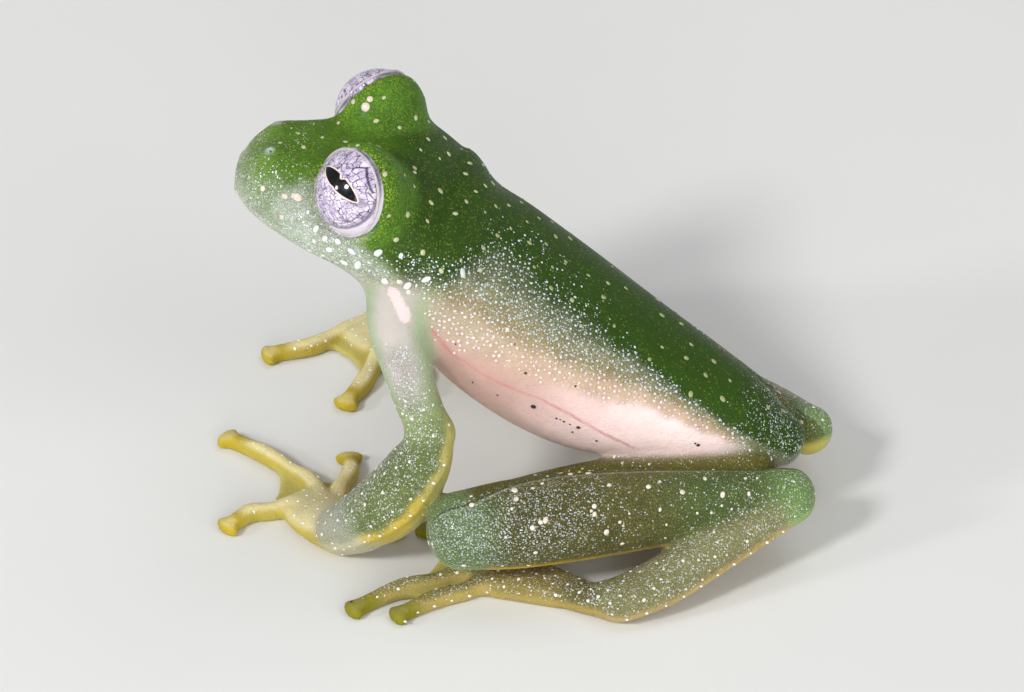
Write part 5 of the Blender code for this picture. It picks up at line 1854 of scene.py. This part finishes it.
@dataclass
class Fringe:
    """A row of small pale beads along the outer edge of an arm or a leg."""

    name: str
    path: Array
    finish: BeadFinish
    spacing: float = 0.8
    small: float = 0.055
    large: float = 0.095

    @staticmethod
    def tree() -> bpy.types.NodeTree:
        """Build the tree that follows a curve, once.

        Returns:
            The Geometry Nodes tree.
        """
        known = bpy.data.node_groups.get("edge_beads")
        if known:
            return known
        tree = bpy.data.node_groups.new("edge_beads", "GeometryNodeTree")
        for label, kind in (("Geometry", "NodeSocketGeometry"), ("Spacing", "NodeSocketFloat"),
                            ("Small", "NodeSocketFloat"), ("Large", "NodeSocketFloat"), ("Finish", "NodeSocketMaterial")):
            tree.interface.new_socket(label, in_out="INPUT", socket_type=kind)
        tree.interface.new_socket("Geometry", in_out="OUTPUT", socket_type="NodeSocketGeometry")
        graph = Graph(tree)
        given = graph.add("NodeGroupInput").outputs
        curve = graph.add("GeometryNodeMeshToCurve", {0: given["Geometry"]})
        even = graph.add("GeometryNodeResampleCurve", {"Curve": curve.outputs[0], "Length": given["Spacing"]}, mode="LENGTH")
        ball = graph.add("GeometryNodeMeshUVSphere", {"Segments": 8, "Rings": 5, "Radius": 1.0})
        along = graph.add("FunctionNodeRandomValue", {2: given["Small"], 3: given["Large"], "Seed": 5}, data_type="FLOAT").outputs[1]
        thick = graph.add("FunctionNodeRandomValue", {2: 0.55, 3: 0.8, "Seed": 6}, data_type="FLOAT").outputs[1]
        thin = graph.maths("MULTIPLY", along, thick)
        scale = graph.add("ShaderNodeCombineXYZ", {0: along, 1: thin, 2: thin})
        beads = graph.add("GeometryNodeInstanceOnPoints", {"Points": even.outputs[0], "Instance": ball.outputs["Mesh"],
                                                           "Scale": scale.outputs[0]})
        real = graph.add("GeometryNodeRealizeInstances", {0: beads.outputs[0]})
        smooth = graph.add("GeometryNodeSetShadeSmooth", {0: real.outputs[0]})
        dressed = graph.add("GeometryNodeSetMaterial", {"Geometry": smooth.outputs[0], "Material": given["Finish"]})
        out = graph.add("NodeGroupOutput")
        tree.links.new(dressed.outputs[0], out.inputs[0])
        return tree

    def build(self, effects: Effects, shift: Array) -> bpy.types.Object:
        """Set the beads along the path and make them one plain mesh.

        Args:
            effects: The shared shader groups.
            shift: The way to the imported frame.

        Returns:
            The beads' object.
        """
        tree = self.tree()
        line = bpy.data.meshes.new(f"{self.name}_path")
        line.from_pydata((self.path + shift) * MM, [(k, k + 1) for k in range(len(self.path) - 1)], [])
        host = bpy.data.objects.new(line.name, line)
        bpy.context.scene.collection.objects.link(host)
        modifier = host.modifiers.new("beads", "NODES")
        modifier.node_group = tree
        material = bpy.data.materials.get(self.finish.name) or self.finish.build(effects)
        values = {"Spacing": self.spacing * MM, "Small": self.small * MM, "Large": self.large * MM, "Finish": material}
        for item in tree.interface.items_tree:
            if item.in_out == "INPUT" and item.name in values:
                modifier[item.identifier] = values[item.name]
        evaluated = host.evaluated_get(bpy.context.evaluated_depsgraph_get())
        data = bpy.data.meshes.new_from_object(evaluated)
        data.name = self.name
        thing = bpy.data.objects.new(self.name, data)
        bpy.context.scene.collection.objects.link(thing)
        bpy.data.objects.remove(host)
        return thing


def outer_edge(frog: Frog, path: Array) -> Array:
    """Settle a path onto the skin.

    Args:
        frog: The frog's forms.
        path: Points near the skin.

    Returns:
        Points on the skin.
    """
    net = Net(np.array(path, dtype=float), np.zeros((0, 4), dtype=int))
    settle(net, frog, 4, 0.3)
    return net.points


def unit_ball(cuts: int = 4) -> Net:
    """A ball of four-sided faces, made from a rounded cube.

    Args:
        cuts: Faces along each edge of the cube.

    Returns:
        A closed net of radius one.
    """
    line = np.linspace(-1.0, 1.0, cuts + 1)
    corners = []
    for axis in range(3):
        for sign in (-1.0, 1.0):
            for i, j in np.ndindex(cuts, cuts):
                ring = [(i, j), (i + 1, j), (i + 1, j + 1), (i, j + 1)]
                for a, b in ring if sign > 0.0 else ring[::-1]:
                    spot = np.zeros(3)
                    spot[axis] = sign
                    spot[(axis + 1) % 3] = line[a]
                    spot[(axis + 2) % 3] = line[b]
                    corners.append(spot)
    points, number = np.unique(np.round(corners, 6), axis=0, return_inverse=True)
    return Net(points / np.linalg.norm(points, axis=1)[:, None], number.reshape(-1, 4))


@dataclass
class Studs:
    """Low round marks set one by one on the skin."""

    name: str
    rows: Rows
    finish: BeadFinish
    flat: float = 0.4

    def build(self, frog: Frog, effects: Effects, shift: Array) -> bpy.types.Object:
        """Set the marks on the skin as one mesh.

        Args:
            frog: The frog's forms.
            effects: The shared shader groups.
            shift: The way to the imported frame.

        Returns:
            The marks' object.
        """
        rows = np.array(self.rows)
        centres = outer_edge(frog, rows[:, :3])
        out = frog.slope(centres)[1]
        out /= np.linalg.norm(out, axis=1)[:, None]
        ball = unit_ball()
        points, faces = [], []
        for k, (centre, way, size) in enumerate(zip(centres, out, rows[:, 3])):
            low = ball.points - (1.0 - self.flat) * np.outer(ball.points @ way, way)
            stretch_by = 1.0 + 0.25 * math.sin(2.7 * k)
            side = np.cross(way, (0.3, 0.2, 0.93))
            side /= np.linalg.norm(side)
            low = low + (stretch_by - 1.0) * np.outer(low @ side, side)
            faces.append(ball.faces + len(ball.points) * k)
            points.append(centre + size * low)
        thing = to_object(self.name, Net(np.vstack(points), np.vstack(faces)), shift)
        thing.data.materials.append(self.finish.build(effects))
        return thing


@dataclass
class Eyeball:
    """One eyeball, a dense ball with its pole at the middle of the iris."""

    head: Head
    side: Side
    rings: int = 96
    spokes: int = 144

    def build(self, shift: Array) -> bpy.types.Object:
        """Make the eyeball with a map of millimetres across the iris.

        Args:
            shift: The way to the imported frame.

        Returns:
            The eyeball's object.
        """
        sign = self.side.value
        turn = np.array(self.head.turn().to_3x3())
        gaze = turn @ (self.head.gaze * (1.0, sign, 1.0))
        centre = np.array(self.head.turn() @ Vector((self.head.eye[0], sign * self.head.eye[1], self.head.eye[2])))
        rear = np.cross((0.0, 0.0, 1.0), gaze)
        rear /= np.linalg.norm(rear)
        top = np.cross(gaze, rear)
        polar = np.linspace(0.0, 1.0, self.rings + 1)[1:-1] ** 1.3 * math.pi
        round_ = np.arange(self.spokes) / self.spokes * 2.0 * math.pi
        radius = self.head.eye_radius
        ring = (np.cos(round_)[:, None] * rear + np.sin(round_)[:, None] * top)
        body = [gaze[None] * radius]
        body += [radius * (math.cos(a) * gaze + math.sin(a) * ring) for a in polar]
        body.append(-gaze[None] * radius)
        points = np.vstack(body) + centre
        faces = []
        n = self.spokes
        last = 1 + len(polar) * n
        for k in range(n):
            after = (k + 1) % n
            faces.append((0, 1 + k, 1 + after))
            faces.append((last, last - n + after, last - n + k))
            for row in range(len(polar) - 1):
                a = 1 + row * n
                faces.append((a + k, a + n + k, a + n + after, a + after))
        data = bpy.data.meshes.new(f"eye_{self.side.label}_ball")
        data.from_pydata((points + shift) * MM, [], faces)
        data.shade_smooth()
        layer = data.uv_layers.new(name="iris")
        local = points - centre
        flat = np.stack([local @ rear * -sign, local @ top], axis=1)
        corners = np.empty(len(data.loops), dtype=np.int32)
        data.loops.foreach_get("vertex_index", corners)
        layer.data.foreach_set("uv", flat[corners].astype(np.float32).ravel())
        ball = bpy.data.objects.new(data.name, data)
        bpy.context.scene.collection.objects.link(ball)
        return ball


@dataclass
class LidRim:
    """The thin pale edge of the lids, a closed ring round one eye."""

    head: Head
    side: Side
    thickness: float = 0.06
    steps: int = 160
    sides: int = 10

    def build(self, shift: Array) -> bpy.types.Object:
        """Make the ring.

        Args:
            shift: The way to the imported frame.

        Returns:
            The ring's object.
        """
        head = self.head
        turn = np.array(head.turn().to_3x3())
        axis = turn @ (head.lid_axis * (1.0, self.side.value, 1.0))
        centre = np.array(head.turn() @ Vector((head.eye[0], self.side.value * head.eye[1], head.eye[2])))
        first = np.cross((0.0, 0.0, 1.0), axis)
        first /= np.linalg.norm(first)
        second = np.cross(axis, first)
        round_ = np.arange(self.steps) / self.steps * 2.0 * math.pi
        out = np.cos(round_)[:, None] * first + np.sin(round_)[:, None] * second
        middle = centre + (head.eye_radius + 0.03) * (math.cos(head.opening) * axis + math.sin(head.opening) * out)
        thick = self.thickness * (1.0 + 0.15 * np.sin(3.0 * round_ + 1.0))[:, None]
        rings = []
        for turn_by in np.arange(self.sides) / self.sides * 2.0 * math.pi:
            rings.append(middle + thick * (math.cos(turn_by) * out + math.sin(turn_by) * axis))
        points = np.stack(rings, axis=1).reshape(-1, 3)
        k, j = np.meshgrid(np.arange(self.steps), np.arange(self.sides), indexing="ij")
        after, beside = (k + 1) % self.steps, (j + 1) % self.sides
        n = self.sides
        faces = np.stack([k * n + j, after * n + j, after * n + beside, k * n + beside], axis=-1).reshape(-1, 4)
        return to_object(f"lid_rim_{self.side.label}", Net(points, faces), shift)


@dataclass
class Camera:
    """The photograph's viewpoint, in the frog's own frame."""

    azimuth: float = math.radians(10.5)
    elevation: float = math.radians(34.5)
    distance: float = 260.0
    aim: tuple[float, float, float] = (-11.0, 0.0, 7.0)
    aim_pixel: tuple[float, float] = (542.07, 355.25)
    pixels_per_mm: float = 23.6
    frame: tuple[float, float] = (1024.0, 692.0)
    sensor: float = 36.0

    def build(self, shift: Array) -> None:
        """Make the camera and set it as the scene's."""
        level = math.cos(self.elevation)
        back = Vector((math.sin(self.azimuth) * level, -math.cos(self.azimuth) * level,
                       math.sin(self.elevation)))
        right = Vector((math.cos(self.azimuth), math.sin(self.azimuth), 0.0))
        up = back.cross(right)
        off_x = (self.frame[0] / 2 - self.aim_pixel[0]) / self.pixels_per_mm
        off_y = (self.frame[1] / 2 - self.aim_pixel[1]) / self.pixels_per_mm
        target = Vector(self.aim) + right * off_x - up * off_y + Vector(shift)
        data = bpy.data.cameras.new("photo_view")
        data.sensor_width = self.sensor
        data.lens = self.pixels_per_mm * self.distance * self.sensor / self.frame[0]
        data.clip_start = 0.01
        data.clip_end = 10.0
        camera = bpy.data.objects.new("photo_view", data)
        bpy.context.scene.collection.objects.link(camera)
        camera.location = (target + back * self.distance) * MM
        camera.rotation_mode = "QUATERNION"
        camera.rotation_quaternion = back.to_track_quat("Z", "Y")
        bpy.context.scene.camera = camera


@dataclass(frozen=True)
class SoftBox:
    """One soft studio light, placed by the direction it shines from."""

    name: str
    azimuth: float
    elevation: float
    size: float
    power: float
    distance: float = 0.55

    def build(self, target: Vector) -> None:
        """Hang the light and aim it.

        Args:
            target: The point it is aimed at, in metres.
        """
        azimuth, elevation = math.radians(self.azimuth), math.radians(self.elevation)
        way = Vector((math.sin(azimuth) * math.cos(elevation), -math.cos(azimuth) * math.cos(elevation),
                      math.sin(elevation)))
        data = bpy.data.lights.new(self.name, "AREA")
        data.shape = "DISK"
        data.size = self.size
        data.energy = self.power
        lamp = bpy.data.objects.new(self.name, data)
        lamp.location = target + way * self.distance
        lamp.rotation_mode = "QUATERNION"
        lamp.rotation_quaternion = way.to_track_quat("Z", "Y")
        bpy.context.scene.collection.objects.link(lamp)


@dataclass
class Studio:
    """Pale floor, soft lights and a pale surround."""

    lights: tuple[SoftBox, ...] = (
        SoftBox("key", -32.4, 38.5, 0.1, 1.5),
        SoftBox("side", -58.6, 23.4, 0.08, 0.6),
        SoftBox("front", 14.0, 14.0, 0.3, 1.15),
        SoftBox("fill", 55.0, 30.0, 0.45, 0.85),
        SoftBox("top", 150.0, 65.0, 0.4, 0.5),
    )
    surround: float = 0.31

    def build(self, effects: Effects) -> None:
        """Set up the studio.

        Args:
            effects: The shared shader groups.
        """
        data = bpy.data.meshes.new("studio_floor")
        half = 1.5
        data.from_pydata([(-half, -half, 0.0), (half, -half, 0.0), (half, half, 0.0), (-half, half, 0.0)], [],
                         [(0, 1, 2, 3)])
        data.materials.append(FloorFinish().build(effects))
        floor = bpy.data.objects.new("studio_floor", data)
        bpy.context.scene.collection.objects.link(floor)
        floor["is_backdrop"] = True
        for light in self.lights:
            light.build(Vector((0.0, 0.0, 0.008)))
        world = bpy.data.worlds.new("studio")
        bpy.context.scene.world = world
        world.use_nodes = True
        background = world.node_tree.nodes["Background"]
        background.inputs["Color"].default_value = (0.95, 0.97, 1.0, 1.0)
        background.inputs["Strength"].default_value = self.surround
        bpy.context.scene.view_settings.view_transform = "Standard"


def claim(piece: bpy.types.Object, slot: str, *nodes: str) -> None:
    """Attach a piece to the root, hide the CAD nodes that it replaces and log its size.

    Args:
        piece: The finished piece.
        slot: Not used.
        nodes: The CAD nodes that it replaces.
    """
    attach(piece, "root")
    if nodes:
        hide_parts(*nodes)
    log.info("%s: %d points", piece.name, len(piece.data.vertices))


def main() -> None:
    """Build the frog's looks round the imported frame."""
    logging.basicConfig(level=logging.INFO, format="%(message)s")
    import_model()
    cad_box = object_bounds()
    frog = Frog()
    shift = frame_shift(frog.head)
    effects = Effects()
    Camera().build(shift)
    skin = build_skin(frog, shift)
    Painter(frog).apply(skin, shift)
    skin.data.materials.append(SkinFinish().build(effects))
    parts = ("upper_arm", "forearm", "hand", "thigh", "shank", "tarsus", "foot")
    claim(skin, "skin", "head", "torso", *[f"{part}_{side.label}" for side in Side for part in parts])
    eye = EyeFinish().build(effects)
    lid = BeadFinish("lid_edge", None, (0.50, 0.46, 0.48), 0.35, 0.3).build(effects)
    for side in Side:
        ball = Eyeball(frog.head, side).build(shift)
        ball.data.materials.append(eye)
        claim(ball, "eye", f"eye_{side.label}")
        rim = LidRim(frog.head, side).build(shift)
        rim.data.materials.append(lid)
        claim(rim, "skin")
    middle = shift[1] * MM
    bead = BeadFinish("bead")
    cream = BeadFinish("cream_spot", "dot", (0.74, 0.66, 0.38), 0.4, 0.2)
    enamel = BeadFinish("lip_enamel", None, (0.78, 0.75, 0.71), 0.35, 0.3)
    pieces = [Scatter(f"beads_{side.label}", "beads", bead, 0.2, 0.03, 0.058, 0.75, 0.3, False, 5, side) for side in Side]
    pieces.append(Scatter("cream_spots", "spots", cream, 1.0, 0.07, 0.125, 0.3, 0.4, True, 9))
    pieces.append(Scatter("cream_dots", "dots", cream, 0.48, 0.05, 0.08, 0.4, 0.3, True, 12))
    pieces.append(Scatter("lip_enamel", "enamel", enamel, 0.5, 0.07, 0.17, 0.25, 0.9, True, 4))
    pieces.append(Scatter("lip_dots", "enamel", enamel, 0.27, 0.03, 0.065, 0.5, 0.8, False, 8))
    for piece in pieces:
        claim(piece.build(skin, effects, middle), "skin")
    for studs in (Studs("dark_specks", SPECKS, BeadFinish("dark_speck", None, (0.035, 0.018, 0.012), 0.5, 0.1)),
                  Studs("cream_marks", MARKS, BeadFinish("cream_mark", None, (0.74, 0.62, 0.52), 0.4, 0.1))):
        claim(studs.build(frog, effects, shift), "skin")
    pearl = BeadFinish("edge_bead", None, (0.84, 0.78, 0.66), 0.3, 0.5)
    for side in Side:
        arm, leg = frog.arms[side], frog.legs[side]
        digit = leg.foot.tubes[-1]
        paths = {"arm_edge": arm.fold.centres + (0.0, side.value * 0.1, 0.0),
                 "leg_edge": leg.fold.centres + (0.0, side.value * 0.1, 0.0),
                 "foot_edge": (digit.centres + digit.across * digit.outward * digit.sizes[:, :1])[4:]}
        for name, path in paths.items():
            beads = Fringe(f"{name}_{side.label}", outer_edge(frog, path), pearl)
            claim(beads.build(effects, shift), "skin")
    Studio().build(effects)
    boxes = [[list(corner) for corner in box] for box in (cad_box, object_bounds())]


if __name__ == "__main__":
    main()
